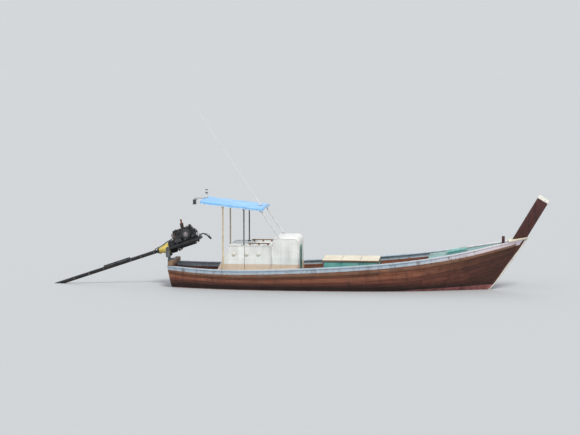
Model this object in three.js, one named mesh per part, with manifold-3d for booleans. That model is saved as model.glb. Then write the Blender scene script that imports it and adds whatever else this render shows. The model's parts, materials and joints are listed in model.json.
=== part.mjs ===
// Longtail boat: an open wooden fishing boat with a low deckhouse, a canopy over the helm and an
// engine that swivels and tilts at the stern, with its propeller at the end of a long tail tube.
// Millimetres. X runs forward, Y to port and Z up. The origin is on the centreline amidships,
// at the waterline.
import * as THREE from 'three';
import { mergeVertices } from 'three/addons/utils/BufferGeometryUtils.js';
import Module from 'manifold-3d';

const wasm = await Module();
wasm.setup();

// Driving dimensions of the hull
const GAP = 0.4; // left between pieces that touch
const PLANK = 25; // planking thickness
const KEEL_HALF = 45; // half the thickness of the keel and stem
const KEEL_TONGUE = 19; // half the thickness of the keel inside the planking
const KEEL_Z = -300; // underside of the planking along the straight keel
const ROCKER_X = -2500; // aft of here the keel rises
const ROCKER_RISE = 133; // by this much at the transom
const KEEL_AFT_X = -4290;
const STEM_HEAD = { x: 4290, z: 1230 }; // where the planking ends at the stem, at the sheer
const STEM_RAKE = THREE.MathUtils.degToRad(35); // from the vertical
const FOREFOOT_RADIUS = 1200;
const BAYS = 24; // lofted bays along the hull
const GRID = 12; // steps round each half section
const BOTTOM_TOP = 5; // grid step where the bottom planks end
const SIDE_TOP = 9; // grid step where the side planks end
const SEAM = 0.002; // gap between two strakes, in section parameter

// Stations from stern to bow, evenly spaced along the sheer. sheerX, sheerZ and halfBeam give the
// sheer point, keelX the keel point that the section leans down to. flat is how far out the bottom
// runs, rise how much it rises on the way, and side how far down the topside stays upright.
const STATIONS = [
  { sheerX: -4400, sheerZ: 520, halfBeam: 560, keelX: KEEL_AFT_X, flat: 0.80, rise: 0.1, side: 0.5 },
  { sheerX: -3550, sheerZ: 476, halfBeam: 748, keelX: -3490, flat: 0.80, rise: 0.08, side: 0.55 },
  { sheerX: -2650, sheerZ: 468, halfBeam: 874, keelX: -2620, flat: 0.80, rise: 0.06, side: 0.58 },
  { sheerX: -1750, sheerZ: 500, halfBeam: 936, keelX: -1740, flat: 0.80, rise: 0.05, side: 0.6 },
  { sheerX: -850, sheerZ: 546, halfBeam: 956, keelX: -850, flat: 0.78, rise: 0.05, side: 0.6 },
  { sheerX: 50, sheerZ: 600, halfBeam: 948, keelX: 40, flat: 0.75, rise: 0.06, side: 0.58 },
  { sheerX: 950, sheerZ: 672, halfBeam: 908, keelX: 900, flat: 0.7, rise: 0.08, side: 0.55 },
  { sheerX: 1850, sheerZ: 774, halfBeam: 810, keelX: 1730, flat: 0.6, rise: 0.12, side: 0.5 },
  { sheerX: 2750, sheerZ: 920, halfBeam: 622, keelX: 2480, flat: 0.45, rise: 0.18, side: 0.42 },
  { sheerX: 3550, sheerZ: 1084, halfBeam: 368, keelX: 3090, flat: 0.3, rise: 0.26, side: 0.36 },
  {
    sheerX: STEM_HEAD.x, sheerZ: STEM_HEAD.z, halfBeam: KEEL_HALF,
    keelX: 0, flat: 0.3, rise: 0.33, side: 0.33,
  },
];

// Timbers
const RIB_DEPTH = 55;
const RIB_HALF = 22;
const RIB_FIRST_X = -4020;
const RIB_SPACING = 470;
const RIB_COUNT = 15;
const FLOOR_TOP = -38;
const BOARD = 22; // thickness of floor and deck boards
const DECK_DROP = 5; // deck surface below the sheer
const GUNWALE = { out: 20, in: 75, height: 32 };
const BULKHEAD_X = 2010; // fore bulkhead, at the sheer

// Prow post
const PROW_FOOT = { x: 4410, z: 1330 }; // on its front edge
const PROW_RAKE = THREE.MathUtils.degToRad(30.5);
const PROW_LENGTH = 998; // above the foot
const PROW_WIDTH = 282;
const PROW_HALF = 38;

// Deckhouse
const CABIN = { back: -3150, front: -1150, half: 608, roof: 1070, panel: 18 };
const CABIN_TOP_BACK = -2850; // where the sloping back meets the roof
const BACK_KNEE = 470; // height where the back starts to slope
const HOOD = { aft: -1790, top: 1262, aftRadius: 100, frontRadius: 120, panel: 16 };
const DOOR = { half: 200, bottom: 66, top: 1004, play: 6, thick: 15 };

// Fish hold
const HOLD = { aft: -560, fore: 790, half: 520, wall: 40, top: 690, lid: 40, overhang: 15 };
const LID_GAP = 5; // under a closed lid
const HATCH = { x: 2700, half: 200, rim: 30, rise: 45, lid: 22, overhang: 8 };

// Canopy, in its own tilted frame with the crown of the cover at z = 0
const CANOPY = { x: -2775, z: 2120, half: 705, length: 1560, camber: 40, skirt: 115, cloth: 6 };
const CANOPY_SLOPE = Math.atan(0.18 / 1.55);
const CANOPY_BOWS = [-745, -250, 250, 745];
const BOW_DEPTH = 30;
const RAIL_DEPTH = 40;
const RAIL_DROP = CANOPY.camber + CANOPY.cloth + 2 + RAIL_DEPTH; // underside of the side rails

// Power unit, in its own frame: origin on the trunnion, x along the propeller shaft
const TRUNNION = { x: -4450, z: 936 };
const SHAFT_SLOPE = THREE.MathUtils.degToRad(18.6);
const PIN = { swivel: 24, trunnion: 15, play: 1.5 };
const YOKE = { bottom: 722.5, plate: 20, inner: 212, outer: 226, half: 45 };
const RAIL = { inner: 175, outer: 205, bottom: -35, top: 25, aft: -38, fore: 850 };
const TAIL_END = -3290;
const TAIL_RADIUS = 38;
const PROPELLER_RADIUS = 165;

const COLOUR = {
  plank: 0x6e483d,
  sheer: 0x8a5137,
  dark: 0x3a1d18,
  gunwale: 0xa9b8c6,
  cream: 0xe6dccf,
  inside: 0x5fa79d,
  deck: 0x8fb7ad,
  white: 0xf2f1ee,
  green: 0x24463a,
  cloth: 0x93c5ea,
  wood: 0x7a5638,
  steel: 0x565a5f,
  engine: 0x1b1d22,
  rust: 0x5a3a2a,
  yellow: 0xd9c869,
  pole: 0xe4e6e6,
  bronze: 0xa9813f,
};

// Shapes. Each returns a closed three.js geometry.

function bare(geometry) {
  const plain = geometry.index ? geometry.toNonIndexed() : geometry.clone();
  const out = new THREE.BufferGeometry();
  out.setAttribute('position', plain.getAttribute('position'));
  return out;
}

function signedVolume(positions, triangles) {
  const [a, b, c] = [new THREE.Vector3(), new THREE.Vector3(), new THREE.Vector3()];
  let sum = 0;
  for (let i = 0; i < triangles.length; i += 3) {
    a.fromArray(positions, triangles[i] * 3);
    b.fromArray(positions, triangles[i + 1] * 3);
    c.fromArray(positions, triangles[i + 2] * 3);
    sum += a.dot(b.cross(c)) / 6;
  }
  return sum;
}

// A closed geometry as a manifold-3d solid, with its faces turned outwards.
function solidOf(geometry) {
  const merged = mergeVertices(bare(geometry), 1e-3);
  const vertProperties = merged.attributes.position.array;
  const triVerts = new Uint32Array(merged.index.array);
  if (signedVolume(vertProperties, triVerts) < 0) triVerts.reverse();
  return new wasm.Manifold(new wasm.Mesh({ numProp: 3, vertProperties, triVerts }));
}

function geometryOf(solid) {
  const mesh = solid.getMesh();
  const indexed = new THREE.BufferGeometry();
  indexed.setAttribute('position', new THREE.BufferAttribute(mesh.vertProperties, 3));
  indexed.setIndex(new THREE.BufferAttribute(mesh.triVerts, 1));
  return indexed.toNonIndexed();
}

function join(...parts) {
  return geometryOf(parts.map(solidOf).reduce((all, part) => all.add(part)));
}

function cut(base, ...tools) {
  return geometryOf(tools.map(solidOf).reduce((left, tool) => left.subtract(tool), solidOf(base)));
}

function meet(a, b) {
  return geometryOf(solidOf(a).intersect(solidOf(b)));
}

function block(x0, x1, y0, y1, z0, z1) {
  const box = new THREE.BoxGeometry(x1 - x0, y1 - y0, z1 - z0);
  return box.translate((x0 + x1) / 2, (y0 + y1) / 2, (z0 + z1) / 2);
}

// A flat outline pushed through a depth. across, up and along are the world directions that the
// outline's first and second numbers and the depth follow.
function prism(points, depth, across, up, along) {
  const shape = new THREE.Shape(points.map(([a, b]) => new THREE.Vector2(a, b)));
  const solid = new THREE.ExtrudeGeometry(shape, { depth, bevelEnabled: false });
  return solid.applyMatrix4(new THREE.Matrix4().makeBasis(across, up, along));
}

const AXIS_X = new THREE.Vector3(1, 0, 0);
const AXIS_Y = new THREE.Vector3(0, 1, 0);
const AXIS_Z = new THREE.Vector3(0, 0, 1);

function sideProfile(points, y0, y1) {
  const solid = prism(points, y1 - y0, AXIS_X, AXIS_Z, AXIS_Y.clone().negate());
  return solid.translate(0, y1, 0);
}

function crossProfile(points, x0, x1) {
  return prism(points, x1 - x0, AXIS_Y, AXIS_Z, AXIS_X).translate(x0, 0, 0);
}

function arc(x, z, radius, fromDegrees, toDegrees, steps) {
  return Array.from({ length: steps + 1 }, (_, i) => {
    const angle = THREE.MathUtils.degToRad(fromDegrees + ((toDegrees - fromDegrees) * i) / steps);
    return [x + radius * Math.cos(angle), z + radius * Math.sin(angle)];
  });
}

function rod(from, to, radius, sides = 16, endRadius = radius) {
  const [a, b] = [new THREE.Vector3(...from), new THREE.Vector3(...to)];
  const along = b.clone().sub(a);
  const bar = new THREE.CylinderGeometry(endRadius, radius, along.length(), sides);
  bar.applyQuaternion(new THREE.Quaternion().setFromUnitVectors(AXIS_Y, along.clone().normalize()));
  return bar.translate(...a.add(b).multiplyScalar(0.5).toArray());
}

// A turned piece on the X axis. Points are pairs of place along X and radius.
function turned(points, sides = 20) {
  const outline = points.map(([x, radius]) => new THREE.Vector2(radius, x));
  return new THREE.LatheGeometry(outline, sides).rotateZ(-Math.PI / 2);
}

function bentTube(points, radius, steps, sides = 8) {
  const path = new THREE.CatmullRomCurve3(points.map((p) => new THREE.Vector3(...p)));
  const ring = new THREE.Shape(
    Array.from({ length: sides }, (_, i) => {
      const angle = (2 * Math.PI * i) / sides;
      return new THREE.Vector2(radius * Math.cos(angle), radius * Math.sin(angle));
    }),
  );
  return new THREE.ExtrudeGeometry(ring, { steps, extrudePath: path, bevelEnabled: false });
}

// Joins closed rings of points into a solid. Each end is closed round a hub point, or, for a band,
// straight across between its first half and its second half.
function loft(rings, band = false) {
  const triangles = [];
  const quad = (a, b, c, d) => triangles.push(a, b, c, a, c, d);
  const count = rings[0].length;
  for (let i = 0; i + 1 < rings.length; i += 1) {
    for (let j = 0; j < count; j += 1) {
      const k = (j + 1) % count;
      quad(rings[i][j], rings[i][k], rings[i + 1][k], rings[i + 1][j]);
    }
  }
  const close = (ring, flip) => {
    const faces = [];
    if (band) {
      for (let j = 0; j + 1 < count / 2; j += 1) {
        const [a, b, c, d] = [ring[j], ring[j + 1], ring[count - 2 - j], ring[count - 1 - j]];
        faces.push([a, b, c], [a, c, d]);
      }
    } else {
      const hub = ring.reduce((sum, p) => sum.add(p), new THREE.Vector3()).divideScalar(count);
      ring.forEach((p, j) => faces.push([hub, p, ring[(j + 1) % count]]));
    }
    faces.forEach(([a, b, c]) => (flip ? triangles.push(a, c, b) : triangles.push(a, b, c)));
  };
  close(rings[0], true);
  close(rings[rings.length - 1], false);
  return new THREE.BufferGeometry().setFromPoints(triangles);
}

// Hull form

const FOREFOOT_TURN = Math.PI / 2 - STEM_RAKE;
const STEM_FOOT = (() => {
  const z = KEEL_Z + FOREFOOT_RADIUS * (1 - Math.cos(FOREFOOT_TURN));
  return { x: STEM_HEAD.x - (STEM_HEAD.z - z) * Math.tan(STEM_RAKE), z };
})();
const FOREFOOT_X = STEM_FOOT.x - FOREFOOT_RADIUS * Math.sin(FOREFOOT_TURN);
STATIONS[STATIONS.length - 1].keelX = STEM_FOOT.x;

// Height of the rabbet, and the direction that points out of the hull there
function keelLine(x) {
  if (x < ROCKER_X) {
    const run = (ROCKER_X - x) / (ROCKER_X - KEEL_AFT_X);
    const slope = (2 * ROCKER_RISE * run) / (ROCKER_X - KEEL_AFT_X);
    return { z: KEEL_Z + ROCKER_RISE * run * run, out: new THREE.Vector3(-slope, 0, -1).normalize() };
  }
  if (x <= FOREFOOT_X) return { z: KEEL_Z, out: new THREE.Vector3(0, 0, -1) };
  const turn = Math.asin(Math.min((x - FOREFOOT_X) / FOREFOOT_RADIUS, Math.sin(FOREFOOT_TURN)));
  return {
    z: KEEL_Z + FOREFOOT_RADIUS * (1 - Math.cos(turn)),
    out: new THREE.Vector3(Math.sin(turn), 0, -Math.cos(turn)),
  };
}

// A column of the station table at t from 0, the stern, to 1, the stem, on a smooth curve
function column(name, t) {
  const last = STATIONS.length - 1;
  const place = THREE.MathUtils.clamp(t, 0, 1) * last;
  const i = Math.min(Math.floor(place), last - 1);
  const f = place - i;
  const at = (k) => STATIONS[k][name];
  const before = i > 0 ? at(i - 1) : 2 * at(0) - at(1);
  const after = i + 2 <= last ? at(i + 2) : 2 * at(last) - at(last - 1);
  const bend = (at(i + 1) - before) * f;
  const square = (2 * before - 5 * at(i) + 4 * at(i + 1) - after) * f * f;
  const cube = (3 * at(i) - before - 3 * at(i + 1) + after) * f * f * f;
  return at(i) + (bend + square + cube) / 2;
}

// A section at t: its keel and sheer points, the height along its own plane, and the curve between
function section(t) {
  const keelX = column('keelX', t);
  const keel = new THREE.Vector3(keelX, 0, keelLine(keelX).z);
  const head = new THREE.Vector3(column('sheerX', t), 0, column('sheerZ', t));
  const height = head.distanceTo(keel);
  const half = column('halfBeam', t);
  const reach = half - KEEL_HALF;
  const curve = new THREE.CubicBezierCurve(
    new THREE.Vector2(KEEL_HALF, 0),
    new THREE.Vector2(KEEL_HALF + column('flat', t) * reach, column('rise', t) * height),
    new THREE.Vector2(half - 0.06 * reach, height * (1 - column('side', t))),
    new THREE.Vector2(half, height),
  );
  return { keel, head, height, half, curve };
}

const SECTIONS = Array.from({ length: BAYS + 1 }, (_, i) => section(i / BAYS));

// A point of one half section: u runs from keel to sheer, depth inwards from the outside. Returned
// as distance from the centreline and height up the section's plane.
function sectionPoint(s, u, depth) {
  const p = s.curve.getPoint(u);
  const tangent = s.curve.getTangent(u);
  return new THREE.Vector2(
    Math.max(p.x - depth * tangent.y, 1),
    Math.min(p.y + depth * tangent.x, s.height),
  );
}

function toWorld(s, y, height) {
  return s.keel.clone().lerp(s.head, height / s.height).setY(y);
}

// Between two lofted sections every surface is straight, so pieces that lie on it are as well.
function along(t, place) {
  const i = Math.min(Math.floor(t * BAYS), BAYS - 1);
  const a = place(SECTIONS[i]);
  const b = place(SECTIONS[i + 1]);
  return a.map((p, k) => p.clone().lerp(b[k], t * BAYS - i));
}

function stops(t0, t1) {
  const inside = Array.from({ length: BAYS + 1 }, (_, i) => i / BAYS);
  return [t0, ...inside.filter((t) => t > t0 + 1e-6 && t < t1 - 1e-6), t1];
}

// The place t along the hull where the sheer stands over x
function stationAt(x) {
  const i = Math.max(1, SECTIONS.findIndex((s) => s.head.x >= x));
  const [a, b] = [SECTIONS[i - 1].head.x, SECTIONS[i].head.x];
  return (i - 1 + (x - a) / (b - a)) / BAYS;
}

function sheerAt(x) {
  return along(stationAt(x), (s) => [s.head])[0];
}

// A ring at the bow carried on forwards along the run of the sheer
function carryOn(ring, nose) {
  const [far, near] = [SECTIONS[BAYS].head, SECTIONS[BAYS - 1].head];
  const slope = (far.z - near.z) / (far.x - near.x);
  return ring.map((p) => p.clone().add(new THREE.Vector3(nose, 0, nose * slope)));
}

// Distance from the centreline to the inside, at a drop below the sheer
function insideHalf(s, drop, depth) {
  const level = s.height - drop;
  const points = Array.from({ length: GRID + 1 }, (_, i) => sectionPoint(s, i / GRID, depth));
  const i = Math.max(1, points.findIndex((p) => p.y >= level));
  const [a, b] = [points[i - 1], points[i]];
  return a.x + ((b.x - a.x) * (level - a.y)) / (b.y - a.y);
}

// A band that follows the hull, between two depths and two places round the section
function band(side, t0, t1, steps, depth0, depth1) {
  const row = (s, depth) => steps.map((u) => sectionPoint(s, u, depth));
  const ring = (s) => {
    const loop = [...row(s, depth0), ...row(s, depth1).reverse()];
    return loop.map((p) => toWorld(s, side * p.x, p.y));
  };
  return loft(stops(t0, t1).map((t) => along(t, ring)), true);
}

function strake(side, first, last) {
  const steps = Array.from({ length: last - first + 1 }, (_, i) => (first + i) / GRID);
  if (first > 0) steps[0] += SEAM;
  if (last < GRID) steps[steps.length - 1] -= SEAM;
  return band(side, 0, 1, steps, 0, PLANK);
}

// Everything inside the planking, at a depth from its outside and up to a drop below the sheer
function inside(t0, t1, depth, drop) {
  const ring = (s) => {
    const level = s.height - drop;
    const row = Array.from({ length: GRID + 1 }, (_, i) => sectionPoint(s, i / GRID, depth));
    const half = row.map((p) => (p.y > level ? new THREE.Vector2(insideHalf(s, drop, depth), level) : p));
    return [
      ...half.map((p) => toWorld(s, p.x, p.y)),
      ...half.reverse().map((p) => toWorld(s, -p.x, p.y)),
    ];
  };
  return loft(stops(t0, t1).map((t) => along(t, ring)));
}

// A plank that lies across or along the sheer: y0 and y1 are functions of the section, low and
// high its heights from the sheer
function sheerPlank(t0, t1, y0, y1, low, high) {
  const ring = (s) => [
    toWorld(s, y0(s, low), s.height + low),
    toWorld(s, y1(s, low), s.height + low),
    toWorld(s, y1(s, high), s.height + high),
    toWorld(s, y0(s, high), s.height + high),
  ];
  return loft(stops(t0, t1).map((t) => along(t, ring)));
}

// Backbone of the hull. A ring is the keel's cross section: a wide foot outside the planking and a
// tongue inside it.
function backboneRing(point, out, foot, tongue, grow) {
  const at = (y, depth) => point.clone().addScaledVector(out, depth).setY(y);
  const wide = KEEL_HALF - GAP + grow;
  const thin = KEEL_TONGUE + grow;
  const ledge = GAP - grow;
  return [
    at(wide, foot + grow), at(wide, ledge), at(thin, ledge), at(thin, -tongue - grow),
    at(-thin, -tongue - grow), at(-thin, ledge), at(-wide, ledge), at(-wide, foot + grow),
  ];
}

const KEEL_FOOT = 45;
const KEEL_INSIDE = 24;
const STEM_FRONT = 80;
const APRON = 100;
const SCARF = Math.floor(stationAt(2900) * BAYS) / BAYS;

function keel() {
  const rings = stops(0, SCARF).map((t) => {
    const point = along(t, (s) => [s.keel])[0];
    if (t === SCARF) point.x -= GAP;
    return backboneRing(point, keelLine(point.x).out, KEEL_FOOT, KEEL_INSIDE, 0);
  });
  return loft(rings);
}

// The whole stem timber, a little thicker all round where grow is not 0, up past the sheer
function stemTimber(grow) {
  const places = stops(SCARF, 1).map((t) => along(t, (s) => [s.keel])[0]);
  const rings = places.map((point, i) => {
    const f = i / (places.length - 1);
    const foot = THREE.MathUtils.lerp(KEEL_FOOT, STEM_FRONT, f);
    const tongue = THREE.MathUtils.lerp(KEEL_INSIDE, APRON, f);
    return backboneRing(point, keelLine(point.x).out, foot, tongue, grow);
  });
  const out = keelLine(STEM_FOOT.x).out;
  const head = SECTIONS[BAYS].head.clone().add(new THREE.Vector3(100, 0, 143));
  rings.push(backboneRing(head, out, STEM_FRONT, APRON, grow));
  return loft(rings);
}

function stem() {
  return cut(stemTimber(0), sheerSpace());
}

// The space above the gunwales' underside near the bow
function sheerSpace() {
  const ring = (x, z) => [
    new THREE.Vector3(x, -300, z), new THREE.Vector3(x, 300, z),
    new THREE.Vector3(x, 300, z + 600), new THREE.Vector3(x, -300, z + 600),
  ];
  const [near, far] = [sheerAt(3700), SECTIONS[BAYS].head];
  const slope = (far.z - near.z) / (far.x - near.x);
  const z = (x) => far.z + (x - far.x) * slope;
  return loft([ring(3900, z(3900)), ring(4900, z(4900))]);
}

function transom() {
  const ring = along(0, (s) => {
    const row = Array.from({ length: GRID + 1 }, (_, i) => sectionPoint(s, i / GRID, PLANK + 1));
    const top = s.height - 4;
    const port = row.map((p) => toWorld(s, p.x, Math.min(p.y, top)));
    const starboard = row.map((p) => toWorld(s, -p.x, Math.min(p.y, top))).reverse();
    return [...port, ...starboard];
  });
  return loft([ring, ring.map((p) => p.clone().setX(p.x + 40))]);
}

function gunwale(side) {
  const y = (reach) => (s) => side * Math.max(s.half + reach, GAP);
  const ring = (s) => [
    toWorld(s, y(-GUNWALE.in)(s), s.height + GAP),
    toWorld(s, y(GUNWALE.out)(s), s.height + GAP),
    toWorld(s, y(GUNWALE.out)(s), s.height + GUNWALE.height),
    toWorld(s, y(-GUNWALE.in)(s), s.height + GUNWALE.height),
  ];
  const rings = stops(0, 1).map((t) => along(t, ring));
  return loft([...rings, carryOn(rings[BAYS], 95)]);
}

function rubRail(side) {
  return band(side, 0, 0.985, [0.885, 0.935], -30, -1.5);
}

function ribs() {
  const steps = [1, 3, 5, 7, 10].map((i) => i / GRID);
  const near = PLANK + 0.5;
  const row = (s, depth) => {
    const half = steps.map((u) => sectionPoint(s, u, depth));
    const port = half.map((p) => toWorld(s, p.x, p.y));
    return [...half.reverse().map((p) => toWorld(s, -p.x, p.y)), ...port];
  };
  const ring = (s) => [...row(s, near), ...row(s, near + RIB_DEPTH).reverse()];
  const frames = Array.from({ length: RIB_COUNT }, (_, i) => {
    const x = RIB_FIRST_X + i * RIB_SPACING;
    const places = [stationAt(x - RIB_HALF), stationAt(x + RIB_HALF)];
    return loft(places.map((t) => along(t, ring)), true);
  });
  const keelson = [RIB_FIRST_X - 40, -3600, -3100, ROCKER_X, 2400].map((x) =>
    [[-45, 76], [45, 76], [45, 122], [-45, 122]].map(
      ([y, up]) => new THREE.Vector3(x, y, keelLine(x).z + up),
    ),
  );
  return join(loft(keelson), ...frames);
}

function floorboards() {
  const clear = PLANK + RIB_DEPTH + 18;
  return meet(block(-4150, 2030, -900, 900, FLOOR_TOP - BOARD, FLOOR_TOP), inside(0, 0.9, clear, 50));
}

function foreBulkhead() {
  const [t0, t1] = [stationAt(BULKHEAD_X - 9), stationAt(BULKHEAD_X + 9)];
  const wall = inside(t0, t1, PLANK + 1, DECK_DROP + BOARD + 1);
  return meet(wall, block(1000, 3000, -900, 900, FLOOR_TOP + 1, 1200));
}

const DECK_CLEAR = PLANK + 2;
const deckEdge = (sign) => (s, height) => sign * insideHalf(s, -height, DECK_CLEAR);

function hatchFrame() {
  const [a, b] = [sheerAt(HATCH.x - 250), sheerAt(HATCH.x + 250)];
  const angle = Math.atan2(b.z - a.z, b.x - a.x);
  const middle = a.clone().add(b).multiplyScalar(0.5);
  const turn = new THREE.Matrix4().makeRotationY(-angle);
  return turn.setPosition(HATCH.x, 0, middle.z - DECK_DROP);
}

function foredeck() {
  const [t0, t1] = [stationAt(BULKHEAD_X + 11), stationAt(4230)];
  const board = sheerPlank(t0, t1, deckEdge(-1), deckEdge(1), -DECK_DROP - BOARD, -DECK_DROP);
  const frame = hatchFrame();
  const outer = HATCH.half + HATCH.rim;
  const opening = block(-HATCH.half, HATCH.half, -HATCH.half, HATCH.half, -200, 200);
  const coaming = block(-outer, outer, -outer, outer, -60, HATCH.rise).applyMatrix4(frame);
  const bitt = block(...BITT.hole, 1000, 1300);
  return cut(join(board, coaming), opening.applyMatrix4(frame), bitt, stemTimber(GAP));
}

const BITT = (() => {
  const [x, half, play] = [3815, 36, 0.6];
  return {
    x,
    half,
    deck: sheerAt(x).z - DECK_DROP,
    hole: [x - half - play, x + half + play, -half - play, half + play],
  };
})();

function bowBitt() {
  const { x, half, deck } = BITT;
  const post = block(x - half, x + half, -half, half, deck - 130, deck + 185);
  return join(post, rod([x, -115, deck + 120], [x, 115, deck + 120], 13, 10));
}

// A side deck and the carlin under its inner edge
function sideDeck(side) {
  const [t0, t1] = [stationAt(CABIN.back + CABIN.panel + 8), stationAt(CABIN.front - CABIN.panel - 5)];
  const edge = CABIN.half + 4;
  const inner = () => side * edge;
  const carlin = () => side * (edge + 43);
  const low = -DECK_DROP - BOARD;
  return join(
    sheerPlank(t0, t1, inner, deckEdge(side), low, -DECK_DROP),
    sheerPlank(t0, t1, inner, carlin, low - 70, low + 8),
  );
}

// Prow post above the stem, and the cap round its foot

function prowPost(grow = 0) {
  const up = new THREE.Vector2(Math.sin(PROW_RAKE), Math.cos(PROW_RAKE));
  const aft = new THREE.Vector2(-up.y, up.x);
  const foot = new THREE.Vector2(PROW_FOOT.x, PROW_FOOT.z);
  const corner = (rise, back) => foot.clone().addScaledVector(up, rise).addScaledVector(aft, back);
  const [low, high] = [-260, PROW_LENGTH];
  const outline = [
    corner(low, -grow), corner(high, -grow), corner(high, PROW_WIDTH + grow), corner(low, PROW_WIDTH + grow),
  ].map((p) => [p.x, p.y]);
  return sideProfile(outline, -PROW_HALF - grow, PROW_HALF + grow);
}

// Everything from deep below up to a height above the sheer, across the bow
function underSheer(height) {
  const ring = (s) => [
    toWorld(s, -300, s.height - 500), toWorld(s, 300, s.height - 500),
    toWorld(s, 300, s.height + height), toWorld(s, -300, s.height + height),
  ];
  const rings = stops(stationAt(3500), 1).map((t) => along(t, ring));
  return loft([...rings, carryOn(rings[rings.length - 1], 700)]);
}

function prowFootCap() {
  const plate = 46;
  const gunwaleTop = GUNWALE.height + GAP;
  const outline = [[3935, -262], [4415, -62], [4415, 62], [3935, 262]];
  const shape = prism(outline, 600, AXIS_X, AXIS_Y, AXIS_Z).translate(0, 0, 900);
  const slab = cut(meet(shape, underSheer(gunwaleTop + plate)), underSheer(gunwaleTop));
  return cut(slab, prowPost(GAP + 0.2));
}

// Engine beam across the stern, and the bracket on it that holds the swivel pin

function engineBeam() {
  return block(-4385, -4265, -600, 600, 553, 650);
}

function pivotBracket() {
  const { x } = TRUNNION;
  const bore = PIN.swivel + PIN.play;
  const plate = block(-4416, -4402, -170, 170, 400, 662);
  const strap = block(-4402, -4262, -170, 170, 650.5, 662);
  const socket = rod([x, 0, 560], [x, 0, 720], bore + 14, 24);
  const gusset = sideProfile([[x, 570], [-4410, 420], [-4410, 640], [x, 712]], -9, 9);
  return cut(join(plate, strap, socket, gusset), rod([x, 0, 500], [x, 0, 760], bore, 24));
}

function swivelYoke() {
  const { x, z } = TRUNNION;
  const { bottom, plate, inner, outer, half } = YOKE;
  const pin = rod([x, 0, 545], [x, 0, bottom + 10], PIN.swivel, 24);
  const base = block(x - half, x + half, -outer, outer, bottom, bottom + plate);
  const ears = [1, -1].map((side) => {
    const [y0, y1] = [side * inner, side * outer].sort((a, b) => a - b);
    const outline = [[x + half, bottom + 5], ...arc(x, z, half, 0, 180, 10), [x - half, bottom + 5]];
    return sideProfile(outline, y0, y1);
  });
  const bore = rod([x, -outer - 20, z], [x, outer + 20, z], PIN.trunnion + PIN.play, 20);
  return cut(join(pin, base, ...ears), bore);
}

// Pieces of the power unit, in its own frame

function engineCradle() {
  const { inner, outer, bottom, top, aft, fore } = RAIL;
  const both = (make) => [make(1), make(-1)];
  const slab = (x0, x1, y0, y1, z0, z1) => (side) => {
    const [a, b] = [side * y0, side * y1].sort((p, q) => p - q);
    return block(x0, x1, a, b, z0, z1);
  };
  return join(
    ...both(slab(aft, fore, inner, outer, bottom, top)),
    ...both((side) => rod([0, side * (outer - 5), 0], [0, side * (YOKE.outer + 10), 0], PIN.trunnion, 20)),
    block(fore - 40, fore, -inner - 5, inner + 5, bottom, top),
    ...both(slab(250, 290, inner, inner + 12, -150, bottom + 5)),
    block(250, 290, -inner - 12, inner + 12, -150, -130),
  );
}

function engineBlock() {
  const lug = (side) => (x) => {
    const [a, b] = [side * 120, side * RAIL.outer].sort((p, q) => p - q);
    return block(x, x + 70, a, b, RAIL.top + GAP, RAIL.top + 22);
  };
  return join(
    block(188, 735, -130, 130, -60, 250),
    block(220, 700, -95, 95, -112, -50),
    turned([[20, 0], [20, 140], [60, 165], [170, 165], [200, 140], [200, 0]]),
    ...[230, 600].flatMap((x) => [lug(1)(x), lug(-1)(x)]),
  );
}

function engineHead() {
  return join(
    block(200, 722, -112, 112, 250 + GAP, 312),
    sideProfile([[215, 305], [707, 305], [707, 350], [690, 366], [232, 366], [215, 350]], -74, 74),
  );
}

function exhaustPipe() {
  const y = 140;
  return join(
    block(240, 680, 112 + GAP, 158, 262, 304),
    rod([436, y, 290], [450, y, 372], 23, 14),
    rod([449, y, 366], [466, y, 480], 43, 16),
    rod([465, y, 474], [482, y, 575], 21, 14),
  );
}

function airFilter() {
  const [x, z] = [552, 198];
  return join(
    rod([x, -130 - GAP, z], [x, -158, z], 52, 16),
    rod([x, -152, z], [x, -236, z], 112, 24),
    rod([x, -230, z], [x, -249, z], 38, 16),
  );
}

function couplingHousing() {
  const front = 20 - GAP;
  const outline = [
    [front, 0], [front, 138], [-2, 138], [-8, 126], [-70, 124], [-225, 66],
    [-232, 82], [-250, 82], [-250, 0],
  ];
  return turned(outline.reverse());
}

function tailTube() {
  const top = -250 - GAP;
  const end = TAIL_END;
  const [pipe, bush] = [TAIL_RADIUS, TAIL_RADIUS + 8];
  const outline = [
    [end, 0], [end, bush], [end + 130, bush], [end + 140, pipe], [top - 60, pipe],
    [top - 50, 60], [top - 18, 60], [top - 18, 82], [top, 82], [top, 0],
  ];
  const skeg = [[end + 40, -20], [end + 30, -225], [end + 120, -235], [end + 470, -20]];
  const strut = [[top - 1500, 20], [top - 1480, 84], [top - 780, 84], [top - 760, 20]];
  return join(turned(outline, 16), sideProfile(skeg, -5, 5), sideProfile(strut, -4, 4));
}

function tiller() {
  const foot = RAIL.top + GAP;
  const bracket = block(812, 848, -24, 24, foot, foot + 48);
  const path = [[830, 0, foot + 20], [905, 0, 76], [985, 0, 28], [1082, 0, -112]];
  const grip = rod([1034, 0, -42.7], [1082, 0, -112], 22, 12);
  return join(bracket, bentTube(path, 17, 9), grip);
}

function crankPulley() {
  const outline = [
    [744, 0], [744, 92], [754, 92], [762, 78], [770, 92], [780, 92], [784, 60], [796, 40], [796, 0],
  ];
  return turned(outline);
}

// One blade: an oval plate set at a pitch, running out from the hub
function blade(angle) {
  const outline = new THREE.Shape();
  const [root, tip] = [18, PROPELLER_RADIUS];
  outline.absellipse((root + tip) / 2, 0, (tip - root) / 2, 44, 0, 2 * Math.PI);
  const plate = new THREE.ExtrudeGeometry(outline, { depth: 7, bevelEnabled: false, curveSegments: 10 });
  plate.translate(0, 0, -3.5);
  plate.rotateX(THREE.MathUtils.degToRad(38));
  plate.applyMatrix4(new THREE.Matrix4().makeBasis(AXIS_Y, AXIS_X, AXIS_Z.clone().negate()));
  return plate.rotateX(angle);
}

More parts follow.
